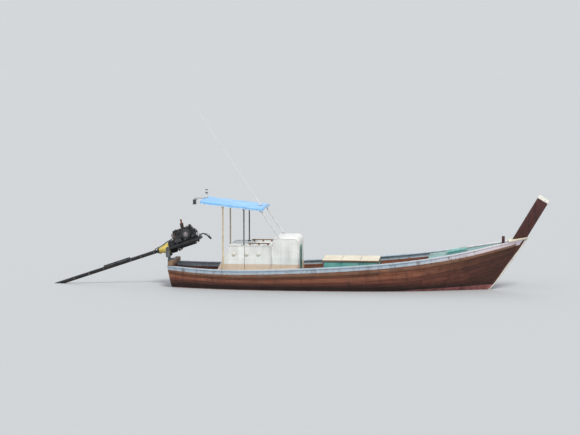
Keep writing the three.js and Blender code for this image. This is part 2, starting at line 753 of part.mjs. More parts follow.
function propeller() {
  const start = TAIL_END - 3;
  const outline = [
    [start, 0], [start, 17], [start - 34, 17], [start - 36, 30], [start - 104, 30],
    [start - 124, 20], [start - 132, 0],
  ];
  const blades = [0, Math.PI].map((angle) => blade(angle).translate(start - 70, 0, 0));
  return join(turned(outline.reverse(), 20), ...blades);
}

// Deckhouse

function hoodOutline(inset) {
  const { aft, top, aftRadius, frontRadius } = HOOD;
  const { front } = CABIN;
  return [
    ...arc(aft + aftRadius, top - aftRadius, aftRadius - inset, 180, 90, 5),
    ...arc(front - frontRadius, top - frontRadius, frontRadius - inset, 90, 0, 6),
  ];
}

const HOOD_FRONT_FOOT = HOOD.top - HOOD.frontRadius - 32;

function cabinHood() {
  const { aft, panel } = HOOD;
  const { front, roof, half } = CABIN;
  const outer = [[aft, roof + GAP], ...hoodOutline(0), [front, HOOD_FRONT_FOOT]];
  const lining = hoodOutline(panel).reverse();
  const inner = [[front - panel, HOOD_FRONT_FOOT], ...lining, [aft + panel, roof + GAP]];
  return sideProfile([...outer, ...inner], -half, half);
}

// Aft edge of the deckhouse at a height, moved forward by an inset
function backEdge(z, inset) {
  const slope = (CABIN_TOP_BACK - CABIN.back) / (CABIN.roof - BACK_KNEE);
  return CABIN.back + Math.max(z - BACK_KNEE, 0) * slope + inset;
}

function cabinSide(side) {
  const { front, half, roof, panel } = CABIN;
  const [y0, y1] = [side * half, side * (half - panel)].sort((a, b) => a - b);
  const [top, clear] = [roof - panel - GAP, panel * 1.13 + GAP];
  const lower = [
    [backEdge(0, clear), 400], [front - panel - GAP, 440], [front - panel - GAP, top],
    [backEdge(top, clear), top], [backEdge(BACK_KNEE, clear), BACK_KNEE],
  ];
  const gap = HOOD.panel + GAP;
  const upper = [
    [HOOD.aft + gap, top - 60], ...hoodOutline(gap), [front - gap, top - 60],
  ];
  const wall = join(sideProfile(lower, y0, y1), sideProfile(upper, y0, y1));
  return cut(wall, block(front - panel - GAP, front + 50, -900, 900, 0, 1400));
}

function cabinFront() {
  const { front, half, panel } = CABIN;
  const [x0, x1] = [front - panel, front];
  const below = inside(stationAt(x0 - 300), stationAt(x1 + 300), PLANK + 1, 2);
  const hull = meet(below, block(x0, x1, -990, 990, FLOOR_TOP + 1, 600));
  const house = block(x0, x1, -half, half, 300, HOOD_FRONT_FOOT - GAP);
  const { half: door, bottom, top, play } = DOOR;
  const opening = block(x0 - 20, x1 + 20, -door - play, door + play, bottom - play, top + play);
  return cut(join(hull, house), opening);
}

function cabinDoor() {
  const { half, bottom, top, thick } = DOOR;
  const { front } = CABIN;
  return block(front - thick, front, -half, half, bottom, top);
}

function cabinBack() {
  const { back, half, roof, panel } = CABIN;
  const top = roof - panel - GAP;
  const clear = panel * 1.13;
  const below = inside(stationAt(back - 300), stationAt(back + 300), PLANK + 1, 3);
  const hull = meet(below, block(back, back + panel, -990, 990, FLOOR_TOP + 1, 500));
  const slope = sideProfile(
    [
      [back, 300], [back + clear, 300], [backEdge(BACK_KNEE, clear), BACK_KNEE],
      [backEdge(top, clear), top], [backEdge(top, 0), top], [back, BACK_KNEE],
    ],
    -half,
    half,
  );
  return join(hull, slope);
}

function cabinRoof() {
  const { roof, half, panel } = CABIN;
  return block(backEdge(roof, 0) - 4, HOOD.aft + HOOD.panel, -half - 4, half + 4, roof - panel, roof);
}

// Fish hold, its lid, and the foredeck hatch

function fishHold() {
  const { aft, fore, half, wall, top } = HOLD;
  const low = FLOOR_TOP + GAP;
  return cut(
    block(aft, fore, -half, half, low, top),
    block(aft + wall, fore - wall, -half + wall, half - wall, low + wall, top + 50),
  );
}

function holdLid() {
  const { aft, fore, half, top, lid, overhang } = HOLD;
  const low = top + LID_GAP;
  return block(aft - overhang, fore + overhang, -half - overhang, half + overhang, low, low + lid);
}

function foredeckHatch() {
  const half = HATCH.half + HATCH.rim + HATCH.overhang;
  const low = HATCH.rise + LID_GAP;
  return block(-half, half, -half, half, low, low + HATCH.lid).applyMatrix4(hatchFrame());
}

// Canopy. The cover and frame are made in the canopy's tilted frame.

function camberRow(half, drop, foot) {
  const steps = 8;
  const top = Array.from({ length: steps + 1 }, (_, i) => {
    const y = half * ((2 * i) / steps - 1);
    return [y, -CANOPY.camber * (y / CANOPY.half) ** 2 - drop];
  });
  return [[-half, foot], ...top, [half, foot]];
}

function canopyCover() {
  const { half, length, skirt, cloth } = CANOPY;
  const outer = camberRow(half, 0, -skirt);
  const inner = camberRow(half - cloth, cloth, -skirt).reverse();
  const ring = (x) => [...outer, ...inner].map(([y, z]) => new THREE.Vector3(x, y, z));
  const end = length / 2;
  const hoop = loft([ring(-end), ring(end)], true);
  const wall = (x) => crossProfile(outer, x, x + cloth);
  return join(hoop, wall(-end), wall(end - cloth));
}

function canopyFrame() {
  const { half, cloth } = CANOPY;
  const [y, deep, wide] = [half - cloth - 3, BOW_DEPTH, 36];
  const bows = CANOPY_BOWS.map((x) => {
    const top = camberRow(y, cloth + 1, 0).slice(1, -1);
    const low = camberRow(y, cloth + 1 + deep, 0).slice(1, -1).reverse();
    return crossProfile([...top, ...low], x - wide / 2, x + wide / 2);
  });
  const [first, last] = [CANOPY_BOWS[0] - wide / 2, CANOPY_BOWS[CANOPY_BOWS.length - 1] + wide / 2];
  const rails = [1, -1].map((side) => {
    const [a, b] = [side * y, side * (y - wide)].sort((p, q) => p - q);
    return block(first, last, a, b, -RAIL_DROP, -RAIL_DROP + RAIL_DEPTH);
  });
  return join(...bows, ...rails);
}

function coverTop(x, y) {
  return CANOPY.z - (x - CANOPY.x) * Math.tan(CANOPY_SLOPE) - CANOPY.camber * (y / CANOPY.half) ** 2;
}

// Two legs of pipe with feet, and a cross pipe on them that carries the canopy's side rails
function hoop(foot, x, half, radius) {
  const sides = 10;
  const plate = 12;
  const z = coverTop(x, 0) - RAIL_DROP - radius - 5;
  const legs = [1, -1].flatMap((side) => [
    rod([foot.x, side * half, foot.z + plate - 3], [x, side * half, z - 4], radius, sides),
    block(foot.x - 38, foot.x + 38, side * half - 38, side * half + 38, foot.z, foot.z + plate),
  ]);
  const reach = CANOPY.half - 20;
  return join(...legs, rod([x, -reach, z], [x, reach, z], radius + 3, sides));
}

function aftHoop() {
  const x = -3000;
  return hoop({ x, z: sheerAt(x).z - DECK_DROP + 6 }, x, 655, 19);
}

function midHoop() {
  const x = -2500;
  return hoop({ x, z: CABIN.roof + GAP }, x, 520, 17);
}

function frontHoop() {
  return hoop({ x: -1640, z: HOOD.top + GAP }, -2070, 560, 17);
}

function aerial() {
  const [x, y] = [-2120, -250];
  const base = coverTop(x, y) + 6;
  const [lean, rise] = [-1590, 2360];
  return join(
    block(x - 38, x + 38, y - 22, y + 22, base, base + 8),
    rod([x + 4, y, base + 4], [x - 30, y, base + 54], 15, 12),
    rod([x, y, base + 8], [x + lean, y, base + rise], 9, 8, 3),
  );
}

function mastLamp() {
  const [x, base] = [-3500, coverTop(-3500, 0) + 6];
  const lens = [[base + 108, 0], [base + 108, 34], [base + 168, 36], [base + 182, 22], [base + 186, 0]];
  const lamp = turned(lens, 16).rotateY(-Math.PI / 2).translate(x, 0, 0);
  const socket = rod([x, 0, base], [x, 0, base + 30], 36, 16);
  return join(socket, rod([x, 0, base + 20], [x, 0, base + 112], 12, 12), lamp);
}

function floodLamp() {
  const [x, y] = [-3735, -320];
  const base = coverTop(-3540, y) + 8;
  return join(
    block(x - 10, -3470, y - 16, y + 16, base, base + 6),
    block(x - 10, x + 4, y - 16, y + 16, base - 40, base + 6),
    block(x - 48, x + 34, y - 75, y + 75, base - 150, base - 34),
  );
}

// The assembly

function material(colour, roughness = 0.7, metalness = 0) {
  return new THREE.MeshStandardMaterial({ color: COLOUR[colour], roughness, metalness });
}

function addPiece(parent, name, geometry, ...finish) {
  const shape = geometryOf(solidOf(geometry));
  shape.computeVertexNormals();
  const mesh = new THREE.Mesh(shape, material(...finish));
  mesh.name = name;
  parent.add(mesh);
}

const group = new THREE.Group();
const sides = [['port', 1], ['starboard', -1]];

addPiece(group, 'keel', keel(), 'dark');
addPiece(group, 'stem', stem(), 'plank');
addPiece(group, 'prow_post', cut(prowPost(), underSheer(GUNWALE.height + GAP)), 'dark', 0.6);
addPiece(group, 'prow_foot_cap', prowFootCap(), 'cream', 0.6);
addPiece(group, 'transom', transom(), 'plank');
for (const [name, side] of sides) {
  addPiece(group, `bottom_planking_${name}`, strake(side, 0, BOTTOM_TOP), 'dark');
  addPiece(group, `side_planking_${name}`, strake(side, BOTTOM_TOP, SIDE_TOP), 'plank');
  addPiece(group, `sheer_strake_${name}`, strake(side, SIDE_TOP, GRID), 'sheer');
  addPiece(group, `gunwale_${name}`, gunwale(side), 'gunwale', 0.6);
  addPiece(group, `rub_rail_${name}`, rubRail(side), 'dark');
  addPiece(group, `side_deck_${name}`, sideDeck(side), 'deck');
  addPiece(group, `cabin_side_${name}`, cabinSide(side), 'white', 0.5);
}
addPiece(group, 'ribs', ribs(), 'inside');
addPiece(group, 'floorboards', floorboards(), 'wood', 0.8);
addPiece(group, 'fore_bulkhead', foreBulkhead(), 'inside');
addPiece(group, 'foredeck', foredeck(), 'deck');
addPiece(group, 'bow_bitt', bowBitt(), 'dark');
addPiece(group, 'engine_beam', engineBeam(), 'wood');
addPiece(group, 'cabin_front', cabinFront(), 'white', 0.5);
addPiece(group, 'cabin_back', cabinBack(), 'white', 0.5);
addPiece(group, 'cabin_roof', cabinRoof(), 'white', 0.5);
addPiece(group, 'cabin_hood', cabinHood(), 'white', 0.5);
addPiece(group, 'cabin_door', cabinDoor(), 'green', 0.5);
addPiece(group, 'fish_hold', fishHold(), 'inside');
addPiece(group, 'hold_lid', holdLid(), 'cream');
addPiece(group, 'foredeck_hatch', foredeckHatch(), 'inside');
addPiece(group, 'aft_hoop', aftHoop(), 'cream', 0.5);
addPiece(group, 'mid_hoop', midHoop(), 'steel', 0.5, 0.6);
addPiece(group, 'front_hoop', frontHoop(), 'white', 0.5);
addPiece(group, 'aerial', aerial(), 'pole', 0.4);
addPiece(group, 'mast_lamp', mastLamp(), 'white', 0.4);
addPiece(group, 'flood_lamp', floodLamp(), 'steel', 0.4);
addPiece(group, 'pivot_bracket', pivotBracket(), 'steel', 0.6, 0.7);
addPiece(group, 'swivel_yoke', swivelYoke(), 'steel', 0.6, 0.7);

const canopy = new THREE.Group();
canopy.position.set(CANOPY.x, 0, CANOPY.z);
canopy.rotation.y = CANOPY_SLOPE;
group.add(canopy);
addPiece(canopy, 'canopy_cover', canopyCover(), 'cloth', 0.8);
addPiece(canopy, 'canopy_frame', canopyFrame(), 'wood');

const powerUnit = new THREE.Group();
powerUnit.position.set(TRUNNION.x, 0, TRUNNION.z);
powerUnit.rotation.y = -SHAFT_SLOPE;
group.add(powerUnit);
addPiece(powerUnit, 'engine_cradle', engineCradle(), 'engine', 0.7, 0.5);
addPiece(powerUnit, 'engine_block', engineBlock(), 'engine', 0.7, 0.4);
addPiece(powerUnit, 'engine_head', engineHead(), 'engine', 0.7, 0.4);
addPiece(powerUnit, 'exhaust_pipe', exhaustPipe(), 'rust', 0.9, 0.5);
addPiece(powerUnit, 'air_filter', airFilter(), 'engine', 0.6, 0.3);
addPiece(powerUnit, 'coupling_housing', couplingHousing(), 'yellow', 0.6);
addPiece(powerUnit, 'tail_tube', tailTube(), 'steel', 0.6, 0.6);
addPiece(powerUnit, 'tiller', tiller(), 'steel', 0.6, 0.6);
addPiece(powerUnit, 'crank_pulley', crankPulley(), 'steel', 0.5, 0.7);
addPiece(powerUnit, 'propeller', propeller(), 'bronze', 0.4, 0.9);

export default group;
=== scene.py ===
# %% [markdown]
# # A wooden longtail boat
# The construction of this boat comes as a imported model, one object for each real piece, in metres,
# with X running to the bow, Y to port and Z up from the waterline. This lesson gives those pieces
# their planks, paint, rust and fittings, and adds the canopy cloth.

# %% Load the boat
import json
import math

import bmesh
import bpy
from mathutils import Matrix, Vector
from mathutils.bvhtree import BVHTree
from mathutils.geometry import convex_hull_2d

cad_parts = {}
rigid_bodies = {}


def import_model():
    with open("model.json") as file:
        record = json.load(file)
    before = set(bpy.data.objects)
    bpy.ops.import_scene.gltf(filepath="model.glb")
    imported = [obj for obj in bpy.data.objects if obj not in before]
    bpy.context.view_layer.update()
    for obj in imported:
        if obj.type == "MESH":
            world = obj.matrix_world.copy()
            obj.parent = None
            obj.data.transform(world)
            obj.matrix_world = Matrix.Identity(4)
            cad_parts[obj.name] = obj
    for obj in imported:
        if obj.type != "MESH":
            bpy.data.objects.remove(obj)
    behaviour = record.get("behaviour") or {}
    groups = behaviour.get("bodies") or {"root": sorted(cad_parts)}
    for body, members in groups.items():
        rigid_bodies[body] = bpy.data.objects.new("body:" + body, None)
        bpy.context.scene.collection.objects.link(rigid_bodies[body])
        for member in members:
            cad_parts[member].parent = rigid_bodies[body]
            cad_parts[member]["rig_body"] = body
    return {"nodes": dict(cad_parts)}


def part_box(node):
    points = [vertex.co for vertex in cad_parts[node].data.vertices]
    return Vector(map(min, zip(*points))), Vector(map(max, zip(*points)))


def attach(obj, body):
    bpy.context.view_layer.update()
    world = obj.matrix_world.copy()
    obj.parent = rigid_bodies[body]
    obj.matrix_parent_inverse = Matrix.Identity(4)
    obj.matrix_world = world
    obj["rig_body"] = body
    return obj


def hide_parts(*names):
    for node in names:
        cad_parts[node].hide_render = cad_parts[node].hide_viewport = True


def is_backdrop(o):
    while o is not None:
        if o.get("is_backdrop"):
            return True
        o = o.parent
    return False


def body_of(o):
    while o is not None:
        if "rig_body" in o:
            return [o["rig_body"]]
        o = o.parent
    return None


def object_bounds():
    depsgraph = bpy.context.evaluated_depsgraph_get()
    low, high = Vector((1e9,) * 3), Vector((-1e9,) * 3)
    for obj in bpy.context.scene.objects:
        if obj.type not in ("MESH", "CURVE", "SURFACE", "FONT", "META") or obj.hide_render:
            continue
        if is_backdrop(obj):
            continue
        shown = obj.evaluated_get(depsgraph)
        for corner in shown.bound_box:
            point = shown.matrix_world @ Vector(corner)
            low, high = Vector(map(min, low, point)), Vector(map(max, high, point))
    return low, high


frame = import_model()
NODES = frame["nodes"]
model_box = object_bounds()
print("pieces loaded:", len(NODES))


def object_mode():
    if bpy.context.object and bpy.context.object.mode != "OBJECT":
        bpy.ops.object.mode_set(mode="OBJECT")


def deselect():
    """Object mode with nothing selected, which every operator below starts from."""
    object_mode()
    bpy.ops.object.select_all(action="DESELECT")


deselect()

# %% [markdown]
# ## Camera, floor and light
# A boat is mostly seen from far away, so its lines hardly converge. A long lens from 41 metres
# keeps that look while the boat fills the picture. The floor lies at the waterline and hides what
# is under it.

# %% Camera
AZIMUTH = math.radians(6)  # towards the bow from square on
ELEVATION = math.radians(5.5)
DISTANCE = 41
LENS = 103
AIM = Vector((-1.42, 0, 1.72))

bpy.ops.object.camera_add()
camera = bpy.context.object
camera.name = "shore_camera"
level = math.cos(ELEVATION)
back = Vector((math.sin(AZIMUTH) * level, -math.cos(AZIMUTH) * level, math.sin(ELEVATION)))
camera.location = AIM + back * DISTANCE
camera.rotation_euler = (-back).to_track_quat("-Z", "Y").to_euler()
camera.data.lens = LENS
camera.data.clip_end = 1000
bpy.context.scene.camera = camera

# %% Floor and lights
FLOOR_SIZE = 900

bpy.ops.mesh.primitive_plane_add(size=FLOOR_SIZE, location=(0, 0, 0))
floor = bpy.context.object
floor.name = "floor"
floor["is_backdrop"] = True


def studio_light(name, direction, softness, strength, tint):
    """A sun with a wide disc, which lights the whole floor evenly and casts soft shadows."""
    away = Vector(direction).normalized()
    bpy.ops.object.light_add(type="SUN", location=away * 20)
    lamp = bpy.context.object
    lamp.name = name
    lamp.rotation_euler = away.to_track_quat("Z", "Y").to_euler()
    lamp.data.angle = math.radians(softness)
    lamp.data.energy = strength
    lamp.data.color = tint


studio_light("key_light", (0.35, -0.62, 0.95), 16, 2.2, (1.0, 0.97, 0.92))
studio_light("fill_light", (-0.9, -0.5, 0.6), 40, 0.4, (0.92, 0.96, 1.0))
studio_light("back_light", (-0.3, 0.9, 0.8), 40, 0.4, (1.0, 1.0, 1.0))

world = bpy.data.worlds.new("pale_room")
world.use_nodes = True
sky = world.node_tree.nodes["Background"].inputs
sky["Color"].default_value = (0.82, 0.85, 0.88, 1)
sky["Strength"].default_value = 0.80
bpy.context.scene.world = world
bpy.context.scene.view_settings.view_transform = "Standard"

# %% [markdown]
# ## Shared effects
# Old paint on a working boat shows the same few things everywhere: grain under it, chips at its
# edges, stains that run down, and patches of another tone. Each is a node group, built once, so
# that a material only says how much of it there is. Nodes are wired by short functions that find
# the tree they work in from the sockets they are given.

# %% Node helpers
SOCKET = bpy.types.NodeSocket


def feed(node, **inputs):
    """Links a node's inputs to sockets, or sets them to values. i0, i1 and i2 are inputs by number."""
    for key, value in inputs.items():
        socket = node.inputs[int(key[1]) if key in ("i0", "i1", "i2") else key.replace("_", " ")]
        if isinstance(value, SOCKET):
            node.id_data.links.new(value, socket)
        else:
            socket.default_value = value
    return node


def add(tree, kind, settings=None, **inputs):
    """A new node with its settings and inputs."""
    node = tree.nodes.new("ShaderNode" + kind)
    for key, value in (settings or {}).items():
        setattr(node, key, value)
    return feed(node, **inputs)


def maths(operation, *values):
    """One step of arithmetic on numbers and sockets."""
    tree = next(value for value in values if isinstance(value, SOCKET)).id_data
    inputs = {f"i{number}": value for number, value in enumerate(values)}
    return add(tree, "Math", {"operation": operation}, **inputs).outputs[0]


def plus(a, b):
    return maths("ADD", a, b)


def minus(a, b):
    return maths("SUBTRACT", a, b)


def times(a, b, added=0.0):
    return maths("MULTIPLY_ADD", a, b, added)


def size_of(value):
    return maths("ABSOLUTE", value)


def spread(value, low, high, to_low=0.0, to_high=1.0):
    """Stretches a value so that low becomes to_low and high becomes to_high, and stops there."""
    ends = {"From_Min": low, "From_Max": high, "To_Min": to_low, "To_Max": to_high}
    return add(value.id_data, "MapRange", {"clamp": True}, Value=value, **ends).outputs["Result"]


def noise(vector, scale, detail=4.0, roughness=0.55):
    node = add(vector.id_data, "TexNoise", Vector=vector, Scale=scale, Detail=detail, Roughness=roughness)
    return node.outputs["Fac"]


def scaled(vector, scale):
    return add(vector.id_data, "VectorMath", {"operation": "SCALE"}, i0=vector, Scale=scale).outputs[0]


def stretched(vector, scale):
    """The same pattern space, longer along the axes with small numbers."""
    return add(vector.id_data, "VectorMath", {"operation": "MULTIPLY"}, i0=vector, i1=scale).outputs[0]


def split(vector):
    return add(vector.id_data, "SeparateXYZ", Vector=vector).outputs


def new_group(name, outputs, **inputs):
    """An empty shader group that is given a place and some numbers: the group and its two ends."""
    group = bpy.data.node_groups.new(name, "ShaderNodeTree")
    group.interface.new_socket("Vector", in_out="INPUT", socket_type="NodeSocketVector")
    for label, default in inputs.items():
        socket = group.interface.new_socket(label, in_out="INPUT", socket_type="NodeSocketFloat")
        socket.default_value = default
    for label in outputs:
        group.interface.new_socket(label, in_out="OUTPUT", socket_type="NodeSocketFloat")
    return group, group.nodes.new("NodeGroupInput").outputs, group.nodes.new("NodeGroupOutput")


# %% Grain, chips, stains and patches
def grain_group(name, along):
    """Long streaks of wood grain that run along one axis."""
    group, given, out = new_group(name, ["Grain", "Height"], Scale=1.0)
    scale = [11.0, 11.0, 11.0]
    scale[along] = 0.55
    run = stretched(scaled(given["Vector"], given["Scale"]), scale)
    fine = noise(run, 9.0, 5.0, 0.7)
    mixed = times(noise(run, 1.6, 3.0), 0.6, times(fine, 0.4))
    feed(out, Grain=spread(mixed, 0.3, 0.7), Height=fine)
    return group


def chips_group():
    """Paint missing in flakes, most of all along edges, which the rounded normal finds."""
    group, given, out = new_group("paint_chips", ["Mask"], Amount=0.3, Edge=0.008, Scale=14.0)
    rounded = add(group, "Bevel", {"samples": 4}, Radius=given["Edge"]).outputs[0]
    normal = add(group, "NewGeometry").outputs["Normal"]
    turn = add(group, "VectorMath", {"operation": "DOT_PRODUCT"}, i0=rounded, i1=normal)
    edge = spread(turn.outputs["Value"], 0.995, 0.80)
    raised = times(edge, 0.42, times(noise(given["Vector"], 1.7, 2.0), 0.25))
    level = plus(noise(given["Vector"], given["Scale"], 8.0, 0.72), raised)
    limit = times(given["Amount"], -0.5, 1.02)
    feed(out, Mask=spread(level, limit, plus(limit, 0.05)))
    return group


def stains_group():
    """Dirt and rust that rain has drawn downwards."""
    group, given, out = new_group("run_stains", ["Mask"], Amount=0.5, Scale=1.0)
    place = scaled(given["Vector"], given["Scale"])
    runs = noise(stretched(place, (9.0, 9.0, 0.9)), 1.0, 5.0, 0.6)
    level = times(spread(runs, 0.45, 0.72), spread(noise(place, 1.1, 2.0), 0.35, 0.65))
    feed(out, Mask=times(level, given["Amount"]))
    return group


def patches_group():
    """Slow changes of tone, where paint was touched up or faded."""
    group, given, out = new_group("tone_patches", ["Tone", "Height"], Scale=2.0)
    slow = noise(given["Vector"], given["Scale"])
    feed(out, Tone=spread(slow, 0.36, 0.64), Height=noise(given["Vector"], 60.0, 4.0, 0.6))
    return group


GRAIN_X = grain_group("grain_along_boat", 0)
GRAIN_Z = grain_group("grain_upright", 2)
CHIPS = chips_group()
STAINS = stains_group()
PATCHES = patches_group()
print("shared effects:", [group.name for group in bpy.data.node_groups])

# %% [markdown]
# ## Lines that follow the sheer
# Painted bands on a hull run parallel to its top edge, which rises to the bow. The height of that
# edge is measured on the gunwale and held as a short polynomial of X. The group then tells every
# material how far below the top edge a point lies.

# %% Sheer group
SHEER_UNIT = 4.4  # half the length of the hull


def power_fit(points, degree):
    """Coefficients of the polynomial closest to points, by Gaussian elimination."""
    size = degree + 1
    rows = [
        [sum(x ** (i + j) for x, _ in points) for j in range(size)] + [sum(z * x**i for x, z in points)]
        for i in range(size)
    ]
    for i in range(size):
        best = max(range(i, size), key=lambda k: abs(rows[k][i]))
        rows[i], rows[best] = rows[best], rows[i]
        for k in range(size):
            if k != i:
                factor = rows[k][i] / rows[i][i]
                rows[k] = [a - factor * b for a, b in zip(rows[k], rows[i])]
    return [rows[i][size] / rows[i][i] for i in range(size)]


def power_sum(x, coefficients):
    """The same polynomial as nodes, at a socket's x."""
    level = coefficients[-1]
    for coefficient in reversed(coefficients[:-1]):
        level = times(level, x, coefficient)
    return level


top_edge = {}
for vertex in NODES["gunwale_starboard"].data.vertices:
    x = round(vertex.co.x, 2)
    top_edge[x] = max(top_edge.get(x, -9), vertex.co.z)
sheer_line = power_fit([(x / SHEER_UNIT, z) for x, z in sorted(top_edge.items())], 5)


def sheer_height(x):
    """Height of the gunwale's top over x."""
    return sum(c * (x / SHEER_UNIT) ** i for i, c in enumerate(sheer_line))


def sheer_group():
    group, given, out = new_group("below_sheer", ["Depth", "X", "Z"])
    parts = split(given["Vector"])
    level = power_sum(maths("DIVIDE", parts["X"], SHEER_UNIT), sheer_line)
    feed(out, Depth=minus(level, parts["Z"]), X=parts["X"], Z=parts["Z"])
    return group


SHEER = sheer_group()
print("sheer at stern, middle and bow:", [round(sheer_height(x), 3) for x in (-4.3, 0, 4.2)])

# %% Materials
def shade(colour):
    """An sRGB colour of 0 to 255 as Blender's linear colour."""
    parts = [c / 255 for c in colour]
    return tuple(c / 12.92 if c <= 0.04045 else ((c + 0.055) / 1.055) ** 2.4 for c in parts) + (1.0,)


def darker(colour, share):
    return tuple(c * share for c in colour)


def new_material(name):
    """A material, its shader, and the place of a point on the piece."""
    material = bpy.data.materials.new(name)
    material.use_nodes = True
    tree = material.node_tree
    return material, tree.nodes["Principled BSDF"], add(tree, "TexCoord").outputs["Object"]


def use(group, place, **values):
    """A shared effect in a material."""
    node = place.id_data.nodes.new("ShaderNodeGroup")
    node.node_tree = group
    return feed(node, Vector=place, **values).outputs


def mix(mask, first, second):
    """One colour over another, as much as the mask says. A colour is a socket or sRGB numbers."""
    a, b = (colour if isinstance(colour, SOCKET) else shade(colour) for colour in (first, second))
    return add(mask.id_data, "Mix", {"data_type": "RGBA"}, Factor=mask, A=a, B=b).outputs["Result"]


def bump(shader, height, strength, distance=0.002):
    node = add(height.id_data, "Bump", Strength=strength, Distance=distance, Height=height)
    feed(shader, Normal=node.outputs["Normal"])


def toned(colour, amount):
    """Makes a colour darker or lighter by the tone, -0.5 to 0.5, that each plank's faces carry."""
    tree = colour.id_data
    tone = add(tree, "Attribute", {"attribute_name": "plank_tone"}).outputs["Fac"]
    return add(tree, "HueSaturation", Value=times(tone, amount, 1.0), Color=colour).outputs["Color"]


def stained(place, colour, tint, amount, scale=1.0):
    """Runs of dirt over a colour."""
    return mix(use(STAINS, place, Amount=amount, Scale=scale)["Mask"], colour, tint)


matte, matte_shader, _ = new_material("pale_floor")
feed(matte_shader, Base_Color=shade((180, 183, 186)), Roughness=0.9)
floor.data.materials.append(matte)

# %% [markdown]
# ## Wood, painted wood and rusty steel
# Three kinds of finish cover nearly all of the boat. Bare or oiled wood shows its grain and differs
# from plank to plank. Painted wood is the same wood under a coat that chips at edges and is stained
# by rain. Painted or galvanised steel rusts in spots that grow together. Each kind is one function
# that builds a material from the shared effects, so that every piece has its own colours and wear.

# %% Painted and bare wood
BRUSH_MARKS = 0.16


def painted_wood(name, paint, faded, bare, grain=GRAIN_X, chips=0.3, stains=0.4, bands=None):
    """A coat of paint over wood. bands, if given, repaints the coat."""
    material, shader, place = new_material(name)
    wood_grain, patch = use(grain, place), use(PATCHES, place)
    coat = mix(patch["Tone"], paint, faded)
    if bands:
        coat = bands(place, coat)
    coat = mix(times(wood_grain["Grain"], BRUSH_MARKS), coat, darker(paint, 0.62))
    coat = stained(place, toned(coat, 0.10), (96, 78, 60), stains)
    wood = toned(mix(wood_grain["Grain"], darker(bare, 0.55), bare), 0.5)
    chip = use(CHIPS, place, Amount=chips)["Mask"]
    feed(shader, Base_Color=mix(chip, coat, wood), Roughness=spread(chip, 0.0, 1.0, 0.5, 0.88))
    relief = times(wood_grain["Height"], 0.5, times(chip, -0.6))
    bump(shader, times(patch["Height"], 0.25, relief), 0.35)
    return material


def bare_wood(name, dark, light, grain=GRAIN_X, weather=0.4, gloss=0.75, bands=None):
    """Wood that was oiled once and has weathered since."""
    material, shader, place = new_material(name)
    wood_grain, patch = use(grain, place), use(PATCHES, place, Scale=3.0)
    grey = tuple(0.275 * (a + b) + 60 for a, b in zip(dark, light))
    wood = mix(times(patch["Tone"], weather), mix(wood_grain["Grain"], dark, light), grey)
    wood = toned(wood, 0.5)
    if bands:
        wood = bands(place, wood)
    wood = stained(place, wood, darker(dark, 0.5), 0.6)
    feed(shader, Base_Color=wood, Roughness=spread(patch["Tone"], 0, 1, gloss - 0.12, gloss + 0.1))
    bump(shader, times(patch["Height"], 0.3, wood_grain["Height"]), 0.5)
    return material


# %% Steel
RUST_DARK = (58, 30, 20)
RUST_LIGHT = (142, 76, 40)


def rust_group():
    """Spots of rust that grow together as the amount rises."""
    group, given, out = new_group("rust_spots", ["Mask", "Tone"], Amount=0.3, Scale=9.0)
    spots = noise(given["Vector"], given["Scale"], 9.0, 0.68)
    limit = times(given["Amount"], -0.5, 0.78)
    fine = noise(given["Vector"], 55.0, 5.0, 0.7)
    feed(out, Mask=spread(spots, limit, plus(limit, 0.07)), Tone=spread(fine, 0.3, 0.7))
    return group


RUST = rust_group()


def steel(name, colour, other, rust=0.3, metallic=0.0, gloss=0.45, grime=0.3, scale=9.0):
    """Painted or bare steel with rust. other is the tone that the first colour drifts to."""
    material, shader, place = new_material(name)
    patch = use(PATCHES, place, Scale=6.0)
    coat = stained(place, mix(patch["Tone"], colour, other), (48, 36, 28), grime, 4.0)
    spots = use(RUST, place, Amount=rust, Scale=scale)
    rusty = mix(spots["Tone"], RUST_DARK, RUST_LIGHT)
    feed(shader, Base_Color=mix(spots["Mask"], coat, rusty))
    feed(shader, Roughness=spread(spots["Mask"], 0, 1, gloss, 0.92))
    if metallic:
        feed(shader, Metallic=spread(spots["Mask"], 0, 1, metallic, 0.0))
    relief = times(spots["Mask"], plus(spots["Tone"], 0.3))
    bump(shader, times(patch["Height"], 0.2, relief), 0.35, 0.001)
    return material


# %% [markdown]
# ## Bands on the hull
# The planks are oiled red-brown, darker to the bow, and black low down, where they stay wet; that
# black band is also painted shade near the water. Below a line that rises to the bow they are painted
# pink against worms. Above the rubbing rail the top plank is painted pale, blue-grey aft and nearly
# white at the bow. The bands are made from the place of each point, so that they run on from plank to
# plank without a break.

# %% Hull bands
BOOT_AFT, BOOT_FORE = 0.02, 0.135  # height of the pink paint's edge at the stern and at the bow
PALE_DEPTH = 0.118  # from the gunwale's top down to the rubbing rail
PALE_AFT = (176, 192, 205)
PALE_FORE = (228, 216, 222)


def ragged(place, value, amount, scale=18.0):
    """Moves a line in and out a little, as a brush does."""
    return plus(value, times(noise(place, scale, 3.0), amount * 2, -amount))


def pale_colour(sheer):
    return mix(spread(sheer["X"], 1.5, 3.6), PALE_AFT, PALE_FORE)


def hull_bands(place, wood):
    sheer = use(SHEER, place)
    wood = mix(times(spread(sheer["X"], 1.3, 3.5), 0.74), wood, (42, 20, 14))
    # Nearly black low down: the wet wood, and painted shade near the water as well.
    wet_and_shade = spread(ragged(place, sheer["Z"], 0.018), 0.09, 0.25, 0.9, 0.0)
    wood = mix(wet_and_shade, wood, (21, 12, 10))
    line = spread(sheer["X"], 1.2, 3.4, BOOT_AFT, BOOT_FORE)
    below = minus(line, ragged(place, sheer["Z"], 0.010, 30.0))
    pink = mix(spread(noise(place, 3.0, 6.0), 0.35, 0.7), (158, 98, 94), (98, 60, 54))
    return mix(spread(below, 0.0, 0.008), wood, pink)


